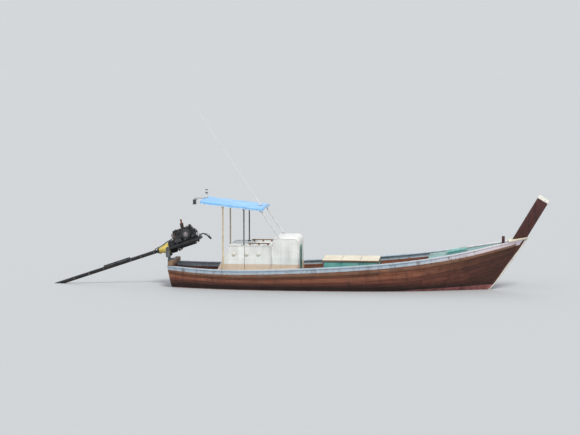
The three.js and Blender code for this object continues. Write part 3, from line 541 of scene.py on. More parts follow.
def sheer_bands(place, wood):
    sheer = use(SHEER, place)
    wood = hull_bands(place, wood)
    depth = ragged(place, sheer["Depth"], 0.006)
    worn = spread(noise(place, 7.0, 8.0, 0.7), 0.58, 0.66, 0.0, 0.75)
    pale = mix(worn, pale_colour(sheer), (124, 92, 70))
    return mix(spread(depth, PALE_DEPTH, PALE_DEPTH - 0.006), wood, pale)


def gunwale_bands(place, coat):
    return pale_colour(use(SHEER, place))


# %% Bands on the post and the house
PROW_RAKE = math.radians(30.5)
PROW_FOOT = Vector((4.410, 0, 1.330))
PROW_UP = Vector((math.sin(PROW_RAKE), 0, math.cos(PROW_RAKE)))
PROW_LONG = 0.998
PROW_HEAD = PROW_FOOT.dot(PROW_UP) + PROW_LONG - 0.085
HOUSE_FOOT = 0.62


def prow_bands(place, wood):
    """The head of the post is painted white, square across it."""
    parts = split(place)
    along = times(parts["X"], PROW_UP.x, times(parts["Z"], PROW_UP.z))
    head = spread(ragged(place, along, 0.006, 25.0), PROW_HEAD, PROW_HEAD + 0.008)
    return mix(head, wood, (232, 229, 220))


def house_bands(place, coat):
    """The house's foot is painted peach."""
    foot = ragged(place, split(place)["Z"], 0.004, 20.0)
    return mix(spread(foot, HOUSE_FOOT + 0.008, HOUSE_FOOT), coat, (222, 196, 174))


# %% Every finish by its slot
OILED = (84, 38, 26), (142, 78, 56)
FINISHES = {
    "hull_planking": bare_wood("oiled_planks", *OILED, weather=0.25, bands=hull_bands),
    "bottom_planking": bare_wood("oiled_bottom_planks", *OILED, weather=0.25, bands=hull_bands),
    "sheer_planking": bare_wood("top_plank", (94, 48, 32), (152, 92, 64), weather=0.25, bands=sheer_bands),
    "keel_timber": bare_wood("keel_wood", (62, 32, 24), (108, 64, 50), bands=hull_bands),
    "rub_rail": bare_wood("rail_wood", (84, 48, 32), (146, 96, 64), weather=0.7),
    "prow_timber": bare_wood("prow_wood", (42, 15, 13), (86, 34, 28), GRAIN_Z, 0.15, 0.5, prow_bands),
    "cream_paint": painted_wood("cream_paint", (230, 221, 200), (214, 201, 178), (120, 84, 60), chips=0.5),
    "gunwale_paint": painted_wood(
        "gunwale_paint", PALE_AFT, PALE_FORE, (122, 84, 62), chips=0.42, bands=gunwale_bands
    ),
    # The turquoise inside the hull is painted lighter than its paint is, as painted light against the shade
    # it lies in.
    "inside_paint": painted_wood(
        "inside_turquoise_painted_light", (92, 170, 164), (136, 194, 186), (112, 80, 60), chips=0.52
    ),
    "deck_paint": painted_wood("deck_turquoise", (92, 150, 150), (138, 176, 172), (118, 92, 72), chips=0.62),
    "house_paint": painted_wood(
        "house_white", (240, 240, 236), (222, 224, 222), (128, 98, 74), stains=0.35, bands=house_bands
    ),
    # The door's dark green is partly its paint and partly painted shade, for the shadow under the hood's
    # overhang.
    "door_paint": painted_wood("door_green_and_shade", (34, 66, 56), (58, 96, 84), (104, 78, 58), GRAIN_Z),
    "bare_boards": bare_wood("bare_boards", (96, 66, 46), (156, 120, 88), weather=0.8, gloss=0.85),
    "cream_pipe": steel("cream_pipe", (214, 196, 168), (190, 166, 132), 0.36),
    "grey_pipe": steel("grey_pipe", (104, 106, 108), (74, 78, 82), 0.42),
    "white_pipe": steel("white_pipe", (226, 226, 222), (200, 202, 204), 0.28),
    "galvanised_steel": steel("galvanised_steel", (122, 126, 128), (88, 92, 96), 0.36, 0.75, 0.48),
    # The tail tube is nearly black: dark steel, darkened further with painted shade for the shadow it lies
    # in.
    "tail_steel": steel("tail_tube_steel_and_shade", (44, 40, 39), (28, 27, 28), 0.27, 0.35, 0.5),
    "engine_frame": steel("engine_frame_paint", (44, 46, 50), (30, 31, 34), 0.4, 0.2, 0.5, 0.6),
    "engine_iron": steel("oily_iron", (30, 31, 35), (18, 19, 22), 0.22, 0.35, 0.38, 0.7),
    "rusty_iron": steel("exhaust_rust", (58, 46, 40), (38, 32, 31), 0.62, 0.2, 0.7, 0.4),
    "filter_can": steel("filter_can", (66, 70, 74), (46, 48, 52), 0.25, 0.2, 0.42),
    "yellow_paint": steel("faded_yellow", (222, 200, 106), (190, 166, 78), 0.22, 0.0, 0.42, 0.5),
    "bronze": steel("worn_bronze", (150, 112, 60), (110, 92, 62), 0.0, 0.9, 0.36, 0.6),
    "aerial_whip": steel("aerial_white", (232, 232, 230), (208, 210, 210), 0.04, 0.0, 0.35, 0.1),
    "lamp_white": steel("lamp_white", (234, 234, 228), (208, 208, 200), 0.1, 0.0, 0.3),
    "lamp_grey": steel("lamp_grey", (70, 72, 76), (52, 54, 58), 0.2, 0.3, 0.4),
    "canopy_cloth": steel("canopy_cloth_base", (150, 200, 236), (176, 216, 244), 0.0, 0.0, 0.8),
}

# A node of the model comes with one material, which is named after its slot.
SLOT_OF = {name: node.data.materials[0].name for name, node in NODES.items()}
for name, slot in SLOT_OF.items():
    NODES[name].material_slots[0].material = FINISHES[slot]
print("finishes:", len(FINISHES), "nodes dressed:", len(SLOT_OF))

# %% [markdown]
# ## Working by hand in code
# A piece is shaped in edit mode with the tools that a hand would use. These helpers open a piece,
# select its faces or edges by their place, and finish it: its shapes become one object with smooth
# shading below an angle, the finish of its slot, and the body it rides on.

# %% Selecting and shaping
def activate(obj):
    deselect()
    obj.select_set(True)
    bpy.context.view_layer.objects.active = obj


def edit(obj):
    activate(obj)
    bpy.ops.object.mode_set(mode="EDIT")


def select_all(action="SELECT"):
    bpy.ops.mesh.select_all(action=action)


def pick(kind, test):
    """In edit mode, selects only the faces or edges that pass a test."""
    obj = bpy.context.object
    bpy.ops.mesh.select_mode(type=kind)
    select_all("DESELECT")
    mesh = bmesh.from_edit_mesh(obj.data)
    mesh.normal_update()
    for item in [item for item in {"FACE": mesh.faces, "EDGE": mesh.edges}[kind] if test(item)]:
        item.select_set(True)
    mesh.select_flush_mode()
    bmesh.update_edit_mesh(obj.data)


def sharp(limit):
    """A test for edges where two faces meet at more than an angle in degrees."""
    least = math.radians(limit)
    return lambda edge: len(edge.link_faces) == 2 and edge.calc_face_angle(0) > least


def placed(obj):
    """Puts an object's place into its mesh."""
    activate(obj)
    bpy.ops.object.transform_apply(location=True, rotation=True, scale=True)
    return obj


def outward(obj):
    """Turns all faces of an object outwards."""
    edit(obj)
    select_all()
    bpy.ops.mesh.normals_make_consistent(inside=False)
    object_mode()
    return obj


def duplicate(obj):
    activate(obj)
    bpy.ops.object.duplicate()
    return bpy.context.object


def apply(obj, kind, **settings):
    """Adds a modifier and applies it."""
    activate(obj)
    modifier = obj.modifiers.new(kind, kind)
    for key, value in settings.items():
        setattr(modifier, key, value)
    bpy.ops.object.modifier_apply(modifier=modifier.name)


# %% Finishing a piece
def made(name, shapes, body, slot, finish=None, angle=35, instead_of=()):
    """One or more shapes as a finished piece. A copy of a CAD node keeps the finish it came with."""
    shapes = shapes if isinstance(shapes, list) else [shapes]
    deselect()
    for shape in shapes:
        shape.select_set(True)
    piece = bpy.context.view_layer.objects.active = shapes[0]
    if len(shapes) > 1:
        bpy.ops.object.join()
    piece.name = name
    bpy.ops.object.shade_smooth_by_angle(angle=math.radians(angle))
    if finish or not piece.data.materials:
        piece.data.materials.clear()
        piece.data.materials.append(finish or FINISHES[slot])
    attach(piece, body)
    if instead_of:
        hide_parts(*instead_of)
    return piece


def node_copy(node, quads=True):
    """A CAD node's mesh as one closed surface, of quads if asked for, in a new object in edit mode."""
    copy = NODES[node].copy()
    copy.data = NODES[node].data.copy()
    copy.parent = None
    bpy.context.collection.objects.link(copy)
    activate(copy)
    bpy.ops.mesh.customdata_custom_splitnormals_clear()
    edit(copy)
    select_all()
    bpy.ops.mesh.remove_doubles(threshold=0.0002)
    if quads:
        bpy.ops.mesh.tris_convert_to_quads(face_threshold=0.7, shape_threshold=1.2)
    return copy


def stands_for(kind, node, obj):
    """The piece that a worked copy of a node becomes. It takes the node's place on its body."""
    made(f"{kind}_{node}", obj, body_of(NODES[node])[0], SLOT_OF[node], instead_of=[node])


# %% [markdown]
# ## Planks and their seams
# The hull is built of planks about 13 cm wide, laid edge to edge and caulked, so thin dark lines
# run the length of it, and planks meet end to end at places that are staggered. The strakes of the
# CAD model are solid, so the seams are cut here: the edges between planks are bevelled into narrow
# strips, which are then extruded a few millimetres into the wood and take the caulking's colour. A
# value on each face says which plank it is, and the finish makes every plank a little different.

# %% Seams
caulk = steel("caulking", (40, 32, 27), (25, 20, 17), 0.0, 0.0, 0.95, 0.5)
GOLDEN = 0.6180339887


def tone_of(number):
    """A number between -0.5 and 0.5 that jumps about from one plank to the next."""
    return (number * GOLDEN) % 1 - 0.5


def cut_seams(obj, width, depth, clamp):
    """Turns the selected edges into grooves filled with caulking."""
    bpy.ops.mesh.bevel(offset=width / 2, segments=1, affect="EDGES", clamp_overlap=clamp)
    bpy.ops.mesh.extrude_region_shrink_fatten(TRANSFORM_OT_shrink_fatten={"value": -depth})
    obj.data.materials.append(caulk)
    obj.active_material_index = len(obj.data.materials) - 1
    bpy.ops.object.material_slot_assign()


# %% Following the lines of a strake
LONG, CROSS, SLANT = 1, 2, 3  # marks on the edges of a strake
corner = sharp(40)


def fan(vertex, edge):
    """All edges at a vertex against the clock, seen from outside, starting from one of them."""
    edges = [edge]
    while len(edges) < len(vertex.link_edges):
        edges.append(next(loop.link_loop_prev.edge for loop in vertex.link_loops if loop.edge == edges[-1]))
    return edges


def lengthwise(vertex, edge, favour=0.0):
    """How much an edge that leaves a vertex points to the bow. A corner may be favoured."""
    run = edge.other_vert(vertex).co - vertex.co
    return run.x / run.length + (favour if corner(edge) else 0)


def mark_between(edges, cross, grid):
    """Of six edges round a point, of which the first and fourth are long, marks the others."""
    for turn in (1, 2, 4, 5):
        edges[turn][grid] = CROSS if turn % 3 == cross else SLANT


def mark_strake(mesh, grid):
    """Marks the edges of a strake as long, cross or slanting, by following its lines.

    Each strake is a loft, a regular net of triangles in which six edges meet at a point, so a line
    runs straight on through the third edge round. A line ends where it would turn a corner."""
    cross = None
    for start in [v for v in mesh.verts if abs(v.co.x) < 0.5]:
        edges = fan(start, max(start.link_edges, key=lambda e: lengthwise(start, e, 0.5)))
        turns = [abs(lengthwise(start, e)) for e in edges[1:3]]
        cross = cross or (1 if turns[0] < turns[1] else 2)
        for edge, forward in ((edges[0], True), (edges[3], False)):
            vertex = start
            while True:
                edge[grid] = LONG
                here = edge.other_vert(vertex)
                if len(here.link_edges) != 6:
                    break
                ring = fan(here, edge)
                if (here.co - vertex.co).angle(ring[3].other_vert(here).co - here.co) > math.radians(35):
                    break
                mark_between(ring[3:] + ring[:3] if forward else ring, cross, grid)
                vertex, edge = here, ring[3]
        mark_between(edges, cross, grid)


def band_of(face, grid):
    """The band of faces, one plank wide, that a face lies in: all that cross edges join to it."""
    found, ahead = {face}, [face]
    while ahead:
        beside = {f for e in ahead.pop().edges if e[grid] == CROSS for f in e.link_faces} - found
        found |= beside
        ahead += beside
    return found


def corners_of(face, grid):
    """How many of a face's edges are corners of the strake: two on its narrow upper and lower edge."""
    return sum(e[grid] == LONG and corner(e) for e in face.edges)


# %% Joints between strakes, and nails
NAIL_INSET = 0.18  # of a plank's width
RIB_PLACES = [-4.02 + 0.47 * i for i in range(15)]
nail_places = []


def caulk_joint(obj, name):
    """Fills the joint above a strake: a thin slab on the strake's upper edge, set in from its faces."""
    mesh = bmesh.from_edit_mesh(obj.data)
    grid = mesh.edges.layers.int["grid"]
    strips = {frozenset(band_of(f, grid)) for f in mesh.faces if corners_of(f, grid) == 2}
    upper = max(strips, key=lambda s: sum(f.calc_center_median().z for f in s) / len(s))
    pick("FACE", lambda f: f in upper)
    bpy.ops.mesh.duplicate()
    bpy.ops.mesh.separate(type="SELECTED")
    slab = next(o for o in bpy.context.selected_objects if o is not obj)
    edit(slab)
    select_all()
    bpy.ops.mesh.inset(thickness=0.005)
    select_all("INVERT")
    bpy.ops.mesh.delete(type="FACE")
    object_mode()
    apply(slab, "SOLIDIFY", thickness=0.008, offset=0)
    made(name, slab, "hull", "hull_planking", caulk)


def nails_on(face):
    """Two nails through a plank into each rib that lies behind this face."""
    corners = sorted((v.co for v in face.verts), key=lambda c: c.x)
    low, high = corners[0].x, corners[-1].x
    ends = [sorted(pair, key=lambda c: c.z) for pair in (corners[:2], corners[2:])]
    for x in RIB_PLACES:
        if low < x <= high:
            t = (x - low) / (high - low)
            foot, head = (ends[0][i].lerp(ends[1][i], t) for i in (0, 1))
            for u in (NAIL_INSET, 1 - NAIL_INSET):
                nail_places.append((foot.lerp(head, u), face.normal.copy()))


# %% Planks
SEAM_WIDTH, SEAM_DEPTH = 0.007, 0.004
BUTT_EVERY = 9  # faces from one butt to the next


def plank_strake(node, first):
    """A strake cut into planks, with staggered butts, inside and outside. first numbers the lowest."""
    obj = node_copy(node, quads=False)
    side = 1 if node.endswith("port") else -1
    mesh = bmesh.from_edit_mesh(obj.data)
    grid = mesh.edges.layers.int.new("grid")
    mark_strake(mesh, grid)
    pick("EDGE", lambda e: e[grid] == SLANT)
    bpy.ops.mesh.dissolve_edges(use_verts=False)
    if "sheer" not in node:
        caulk_joint(obj, f"joint_{node}")
        edit(obj)
    mesh = bmesh.from_edit_mesh(obj.data)
    mesh.normal_update()
    grid = mesh.edges.layers.int["grid"]
    tone = mesh.faces.layers.float.new("plank_tone")
    cuts = {e for e in mesh.edges if e[grid] == LONG and not corner(e)}
    surfaces, done = {}, set()
    for face in mesh.faces:
        if face in done or not any(e[grid] == CROSS for e in face.edges):
            continue
        band = band_of(face, grid)
        done |= band
        if corners_of(face, grid) < 2:
            faces = sorted(band, key=lambda f: f.calc_center_median().x)
            middle = faces[len(faces) // 2]
            outside = middle.normal.y * side > 0.25 or middle.normal.z < -0.5
            surfaces.setdefault(outside, []).append((middle.calc_center_median().z, faces))
    for outside, bands in surfaces.items():
        for level, (_, faces) in enumerate(sorted(bands, key=lambda band: band[0]), first):
            piece = 0
            for i, face in enumerate(faces):
                if 2 < i < len(faces) - 2 and (i + level * 4) % BUTT_EVERY == 0:
                    piece += 1
                    cuts |= {e for e in face.edges if e[grid] == CROSS and faces[i - 1] in e.link_faces}
                face[tone] = tone_of(level * 7 + piece * 3)
                if outside and len(face.verts) == 4:
                    nails_on(face)
    pick("EDGE", lambda e: e in cuts)
    cut_seams(obj, SEAM_WIDTH, SEAM_DEPTH, clamp=True)
    stands_for("planked", node, obj)
    print(node, "planks:", sum(len(bands) for bands in surfaces.values()))


for side in ("port", "starboard"):
    plank_strake(f"bottom_planking_{side}", 0)
    plank_strake(f"side_planking_{side}", 5)
    plank_strake(f"sheer_strake_{side}", 9)

# %% [markdown]
# ## Boards
# Decks, floorboards, the transom and the bulkhead are boards laid side by side. Each CAD piece is
# one solid, so it is divided with straight cuts where its boards meet, and the cuts become seams.

# %% Boards
LEVEL_ERROR = 1e-4


def boards(node, axis, width):
    """Divides a node into boards of about a width along an axis, X, Y or Z as 0, 1 or 2."""
    obj = node_copy(node)
    low, high = (end[axis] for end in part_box(node))
    count = round((high - low) / width)
    size = (high - low) / count
    lines = [low + size * i for i in range(1, count)]
    across = Vector([float(i == axis) for i in range(3)])
    for line in lines:
        select_all()
        bpy.ops.mesh.bisect(plane_co=across * line, plane_no=across)
    mesh = bmesh.from_edit_mesh(obj.data)
    tone = mesh.faces.layers.float.new("plank_tone")
    for face in mesh.faces:
        number = math.floor((face.calc_center_median()[axis] - low) / size)
        face[tone] = tone_of(number * 3 + 7)
    bmesh.update_edit_mesh(obj.data)

    def between_boards(edge):
        here = edge.verts[0].co[axis]
        level = abs(edge.verts[1].co[axis] - here) < LEVEL_ERROR
        return level and any(abs(here - line) < LEVEL_ERROR for line in lines) and not sharp(35)(edge)

    pick("EDGE", between_boards)
    cut_seams(obj, 0.006, 0.006, clamp=False)
    stands_for("boarded", node, obj)


BOARDS = (
    ("floorboards", 1, 0.14),
    ("foredeck", 1, 0.12),
    ("side_deck_port", 1, 0.11),
    ("side_deck_starboard", 1, 0.11),
    ("fore_bulkhead", 1, 0.15),
    ("transom", 2, 0.13),
    ("cabin_side_port", 0, 0.66),
    ("cabin_side_starboard", 0, 0.66),
    ("cabin_roof", 0, 0.54),
    ("fish_hold", 0, 0.45),
    ("hold_lid", 0, 0.46),
    ("foredeck_hatch", 1, 0.12),
    ("cabin_door", 1, 0.10),
)
for node, axis, width in BOARDS:
    boards(node, axis, width)
print("boarded pieces:", len(BOARDS))

# %% [markdown]
# ## Rounded timber and worn edges
# Nobody leaves a sharp edge on a boat. Rails, posts and castings keep their CAD shapes, but a copy
# of each gets its edges rounded with a bevel, so that light catches them as on the real piece.

# %% Soft edges
def softened(node, width, segments=2):
    obj = node_copy(node)
    select_all()
    bpy.ops.mesh.dissolve_limited(angle_limit=math.radians(0.6))
    pick("EDGE", sharp(35))
    bpy.ops.mesh.bevel(offset=width, segments=segments, affect="EDGES", clamp_overlap=True)
    stands_for("rounded", node, obj)


# How far each piece is rounded, in millimetres.
SOFT_EDGES = {
    "keel": 6, "stem": 8, "prow_post": 10, "prow_foot_cap": 10, "bow_bitt": 6,
    "gunwale_port": 9, "gunwale_starboard": 9, "rub_rail_port": 10, "rub_rail_starboard": 10,
    "engine_beam": 8, "cabin_front": 3, "cabin_back": 3, "cabin_hood": 4, "canopy_frame": 3,
    "aft_hoop": 1.5, "mid_hoop": 1.5, "front_hoop": 1.5, "pivot_bracket": 1.5, "swivel_yoke": 2,
    "engine_cradle": 2, "engine_block": 6, "engine_head": 4, "exhaust_pipe": 2, "air_filter": 3,
    "coupling_housing": 2, "tail_tube": 1.5, "tiller": 2, "crank_pulley": 1,
    "mast_lamp": 1.5, "flood_lamp": 3,
}
for node, millimetres in SOFT_EDGES.items():
    softened(node, millimetres / 1000)
print("rounded pieces:", len(SOFT_EDGES))

# %% [markdown]
# ## The canopy cloth
# The canopy is one fitted sheet of faded blue tarpaulin. It lies on four wooden bows, sags a little
# between them, and its skirt hangs down all round with a scalloped hem. A flat grid is drawn at the
# size of the cut, its flat place is kept as a UV map for the weave and the stitches, and then every
# point is folded over the edges and let down one by one. That is steadier here than a simulation,
# because the sheet is stretched tight and only its hem is free.

# %% Shape of the stretched sheet
CANOPY_PLACE = Vector((-2.775, 0, 2.12))
CANOPY_SLOPE = math.atan2(0.18, 1.55)
CANOPY_TURN = Matrix.Translation(CANOPY_PLACE) @ Matrix.Rotation(CANOPY_SLOPE, 4, "Y")
CANOPY_LONG, CANOPY_HALF = 0.78, 0.705  # half its length and width, skirt not counted
CANOPY_CAMBER = 0.040
SKIRT = 0.098
FOLD = 0.014  # radius of the folded edge
BOWS = (-0.745, -0.25, 0.25, 0.745)
SAG = 0.007


def fold(run):
    """How far out and how far down a strip reaches after it has run over a rounded edge."""
    angle = min(max(run, 0) / FOLD, math.pi / 2)
    return FOLD * math.sin(angle), FOLD * (1 - math.cos(angle)) + max(run - FOLD * math.pi / 2, 0)


def sag(x):
    """Cloth is lowest halfway between two bows."""
    for a, b in zip(BOWS, BOWS[1:]):
        if a < x < b:
            return SAG * math.sin(math.pi * (x - a) / (b - a)) ** 2
    return 0.0


def scallop(along):
    """How far the hem is drawn up between its low points, which are 13 cm apart."""
    return 0.014 * abs(math.sin(math.pi * along / 0.13))


def folded(u, v):
    """The place, in the canopy's own frame, of a point of the flat cut."""
    edge_x, edge_y = CANOPY_LONG - FOLD, CANOPY_HALF - FOLD
    past_x, past_y = max(abs(u) - edge_x, 0), max(abs(v) - edge_y, 0)
    run = max(past_x, past_y)
    out, down = fold(run)
    side_x, side_y = math.copysign(1, u), math.copysign(1, v)
    turn = math.pi / 2 * past_y / (past_x + past_y) if run else 0
    x = side_x * (edge_x + out * math.cos(turn)) if past_x else u
    y = side_y * (edge_y + out * math.sin(turn)) if past_y else v
    height = -CANOPY_CAMBER * (min(abs(y), CANOPY_HALF) / CANOPY_HALF) ** 2 - sag(x)
    if run:
        at_end = past_x >= past_y
        along = v if at_end else u
        hang = SKIRT + (CANOPY_CAMBER * (1 - (y / CANOPY_HALF) ** 2) * 0.4 if at_end else 0)
        share = run / (SKIRT + FOLD)
        wave = 0.004 * math.sin(along * 31) * share
        x += side_x * wave if at_end else 0
        y += 0 if at_end else side_y * wave
        height -= down * (hang - scallop(along) * share) / SKIRT * 0.72
    return Vector((x, y, height))


# %% Canopy sheet
CLOTH_THICK = 0.003

flat_length = 2 * (CANOPY_LONG + SKIRT)
flat_width = 2 * (CANOPY_HALF + SKIRT)
bpy.ops.mesh.primitive_grid_add(x_subdivisions=120, y_subdivisions=112, size=1, calc_uvs=True)
cloth = bpy.context.object
cuts = cloth.data.uv_layers.active
cuts.name = "flat_cut"
for loop in cloth.data.loops:
    here = cloth.data.vertices[loop.vertex_index].co
    cuts.data[loop.index].uv = (here.x * flat_length, here.y * flat_width)
for vertex in cloth.data.vertices:
    vertex.co = CANOPY_TURN @ folded(vertex.co.x * flat_length, vertex.co.y * flat_width)
apply(cloth, "SOLIDIFY", thickness=CLOTH_THICK, offset=-1)
print("canopy cut:", round(flat_length, 3), "by", round(flat_width, 3), "m")


# %% Cloth finish
HEM = 0.028
STITCHES = 700.0  # stitches to the metre, times two pi
THREADS = 600.0  # threads of the weave to the metre
BLUE = (112, 173, 226)
BLUE_FADED = (146, 197, 236)


def weave_group():
    """Over and under threads of a plain weave, from flat coordinates in metres."""
    group, given, out = new_group("plain_weave", ["Height", "Warp"], Threads=THREADS)
    flat = split(given["Vector"])
    warp, weft = (maths("SINE", times(times(flat[axis], given["Threads"]), math.pi)) for axis in ("X", "Y"))
    feed(out, Height=spread(times(warp, weft), -1, 1), Warp=spread(warp, -1, 1))
    return group


def thread_at(value, place):
    """A line of thread where a value in metres is at a place."""
    return spread(size_of(minus(value, place)), 0.0014, 0.0008)


def cloth_finish():
    material, shader, place = new_material("canopy_tarpaulin")
    cut = add(place.id_data, "UVMap", {"uv_map": "flat_cut"}).outputs["UV"]
    flat = split(cut)
    weave = use(weave_group(), cut)
    faded = use(PATCHES, place, Scale=2.6)["Tone"]
    colour = mix(faded, BLUE, BLUE_FADED)
    colour = mix(times(weave["Warp"], 0.10), colour, (80, 134, 190))
    middle = size_of(flat["Y"])
    edge = maths("MINIMUM", minus(flat_length / 2, size_of(flat["X"])), minus(flat_width / 2, middle))
    hem = spread(edge, HEM + 0.001, HEM)
    colour = mix(times(hem, 0.45), colour, (232, 240, 246))
    stitch = maths("GREATER_THAN", maths("SINE", times(plus(flat["X"], flat["Y"]), STITCHES)), 0.1)
    rows = maths("MAXIMUM", thread_at(edge, 0.006), thread_at(edge, HEM - 0.005))
    sewn = times(maths("MAXIMUM", rows, thread_at(middle, 0.014)), stitch)
    colour = mix(sewn, colour, (240, 244, 246))
    colour = stained(place, colour, (124, 132, 128), 0.32, 2.0)
    feed(shader, Base_Color=colour, Roughness=spread(faded, 0, 1, 0.55, 0.78), Sheen_Weight=0.2)
    lap = maths("MAXIMUM", spread(middle, 0.022, 0.020), hem)
    relief = times(lap, 0.5, times(weave["Height"], 0.12, times(sewn, 0.3)))
    bump(shader, times(noise(place, 9.0, 5.0, 0.6), 1.4, relief), 0.4)
    return material


made("canopy_sheet", cloth, "hull", "canopy_cloth", cloth_finish(), 60, ["canopy_cover"])
print("canopy sheet faces:", len(cloth.data.polygons))

# %% [markdown]
# ## Small fastenings
# A boat shows hundreds of nails and bolts. Each kind is modelled once, as a small shape with few
# faces, and copied to its places into one mesh. A place is a matrix whose Z axis points out of the
# surface. The rows of a turned shape are in millimetres, and so are the sizes of bolts.

# %% Blocks and turned shapes
UP, DOWN, PORT, STARBOARD = (0, 0, 1), (0, 0, -1), (0, 1, 0), (0, -1, 0)
AHEAD, ASTERN = (1, 0, 0), (-1, 0, 0)
SIDES = (-1, 1)  # starboard and port


def facing(point, normal, turn=0.0):
    """A place at a point with Z along the normal."""
    spin = Matrix.Rotation(turn, 4, "Z")
    return Matrix.Translation(point) @ Vector(normal).to_track_quat("Z", "Y").to_matrix().to_4x4() @ spin


def turned(profile, sides=16, place=Matrix()):
    """A shape turned on Z from rows of height and radius in millimetres, moved to its place."""
    deselect()
    rows = [(height / 1000, radius / 1000) for height, radius in profile]
    foot, radius = rows[0]
    bpy.ops.mesh.primitive_circle_add(vertices=sides, radius=radius, fill_type="NGON", location=(0, 0, foot))
    obj = bpy.context.object
    edit(obj)
    select_all()
    for (z0, r0), (z1, r1) in zip(rows, rows[1:]):
        bpy.ops.mesh.extrude_region_move(TRANSFORM_OT_translate={"value": (0, 0, z1 - z0)})
        bpy.ops.transform.resize(value=(r1 / r0, r1 / r0, 1))
    placed(outward(obj)).data.transform(place)
    return obj


def box(one, other, round_off=0.003, segments=2, place=Matrix()):
    """A block between two opposite corners with rounded edges, then moved to its place."""
    deselect()
    one, other = Vector(one), Vector(other)
    size = [abs(c) for c in other - one]
    bpy.ops.mesh.primitive_cube_add(size=1, location=(one + other) / 2, scale=size)
    obj = placed(bpy.context.object)
    edit(obj)
    select_all()
    bpy.ops.mesh.bevel(offset=min(round_off, min(size) * 0.45), segments=segments, affect="EDGES")
    object_mode()
    obj.data.transform(place)
    return obj


# %% Copies of a shape, and places on a surface
def copies(name, shape, places, *where):
    """One piece with a copy of the shape at each place."""
    joined = bmesh.new()
    for place in places:
        part = shape.data.copy()
        part.transform(place)
        joined.from_mesh(part)
        bpy.data.meshes.remove(part)
    joined.to_mesh(shape.data)
    joined.free()
    return made(name, shape, *where)


def bolts(name, across, tall, places, *where):
    """Washers with six-sided heads on them, sized in millimetres."""
    head = [(-1, across), (1.5, across), (1.6, across * 0.62), (tall, across * 0.6)]
    copies(name, turned(head, 6), places, *where)


def surface(*names):
    """The surfaces of finished pieces, for dropping a point onto them."""
    trees = []
    for name in names:
        mesh = bmesh.new()
        mesh.from_mesh(bpy.data.objects[name].data)
        trees.append(BVHTree.FromBMesh(mesh))
        mesh.free()
    return trees


def drop(trees, start, direction):
    """The nearest point and normal that a ray from start meets, or None."""
    hits = [tree.ray_cast(Vector(start), Vector(direction)) for tree in trees]
    return min((hit for hit in hits if hit[0]), key=lambda hit: hit[3], default=(None,) * 2)[:2]


def places_on(trees, starts, direction, test=lambda point, normal: True, spin=0):
    """Places where rays from the starts meet a surface, each one turned by spin from the last."""
    hits = enumerate([drop(trees, start, direction) for start in starts])
    return [facing(*hit, i * spin) for i, hit in hits if hit[0] and test(*hit)]


# %% Nails in the planks
iron_nail = steel("iron_nails", (92, 84, 78), (60, 54, 50), 0.6, 0.4, 0.6)
HULL_IRON = "hull", "galvanised_steel", iron_nail

nail = turned([(-1, 7), (1.2, 6.5), (2.2, 3)], 6)
copies("plank_nails", nail, [facing(point, normal) for point, normal in nail_places], *HULL_IRON)
print("nails:", len(nail_places))

# %% [markdown]
# ## A hole in the floor
# The floor lies at the waterline, and the boat's own floorboards lie a little below it, so the floor
# needs an opening in the shape of the hull at that height. Rays from the side find the planks, and
# the opening's edge is set inside their thickness, where it can't be seen.

# %% Floor round the hull
STERN_END, BOW_END = -4.315, 3.0
PLANK_INSIDE = 0.012  # from the outer face of a plank to the opening's edge


def waterline():
    """Points inside the planks all round the hull at the waterline, from stern to bow and back."""
    sides = ("planked_bottom_planking_starboard", "planked_side_planking_starboard")
    skins = surface(*sides, "rounded_stem", "boarded_transom")
    steps = [STERN_END + (BOW_END - STERN_END) * i / 60 for i in range(61)]
    row = [(x, drop(skins, (x, -3, 0), PORT)[0]) for x in steps]
    row = [(x, point.y + PLANK_INSIDE) for x, point in row if point]
    return row + [(x, -y) for x, y in reversed(row)]


def open_floor(outline):
    """The floor as two rings of quads, from the outline out to four times its width, and far away."""
    count = len(outline)
    points = [(x, y, 0) for x, y in outline] + [(x * 1.6 + 0.3, y * 4, 0) for x, y in outline]
    for x, y in outline:
        turn = math.atan2(y * 4, x + 0.6)
        points.append((x + FLOOR_SIZE * math.cos(turn), FLOOR_SIZE * math.sin(turn), 0))
    faces = []
    for ring in (0, count):
        for i in range(count):
            j = (i + 1) % count
            faces.append((ring + i, ring + count + i, ring + count + j, ring + j))
    mesh = bpy.data.meshes.new("open_floor")
    mesh.from_pydata(points, [], faces)
    for polygon in mesh.polygons:
        if polygon.normal.z < 0:
            polygon.flip()
    mesh.materials.append(matte)
    floor.data = mesh


outline = waterline()
open_floor(outline)
print("waterline points:", len(outline), "widest:", round(2 * max(abs(y) for _, y in outline), 2), "m")

# %% [markdown]
# ## Rails and the stem band
# Each gunwale is made of three lengths joined with slanting scarfs, and bolted down through the top
# plank. A half-round metal band protects the edge of the stem, which shows as a light line.

# %% Scarfs and bolts of the gunwales
SCARF_SLANT = 0.42
scarf_places, gunwale_bolts = [], []


def across_top(trees, x, side):
    """The point and normal on top of a gunwale at x, halfway over its width."""
    hits = [drop(trees, (x, side * (0.98 - step * 0.016), 3.0), DOWN) for step in range(60)]
    hits = [hit for hit in hits if hit[0] and abs(hit[0].z - sheer_height(x)) < 0.05]
    return hits[len(hits) // 2] if hits else (None, None)


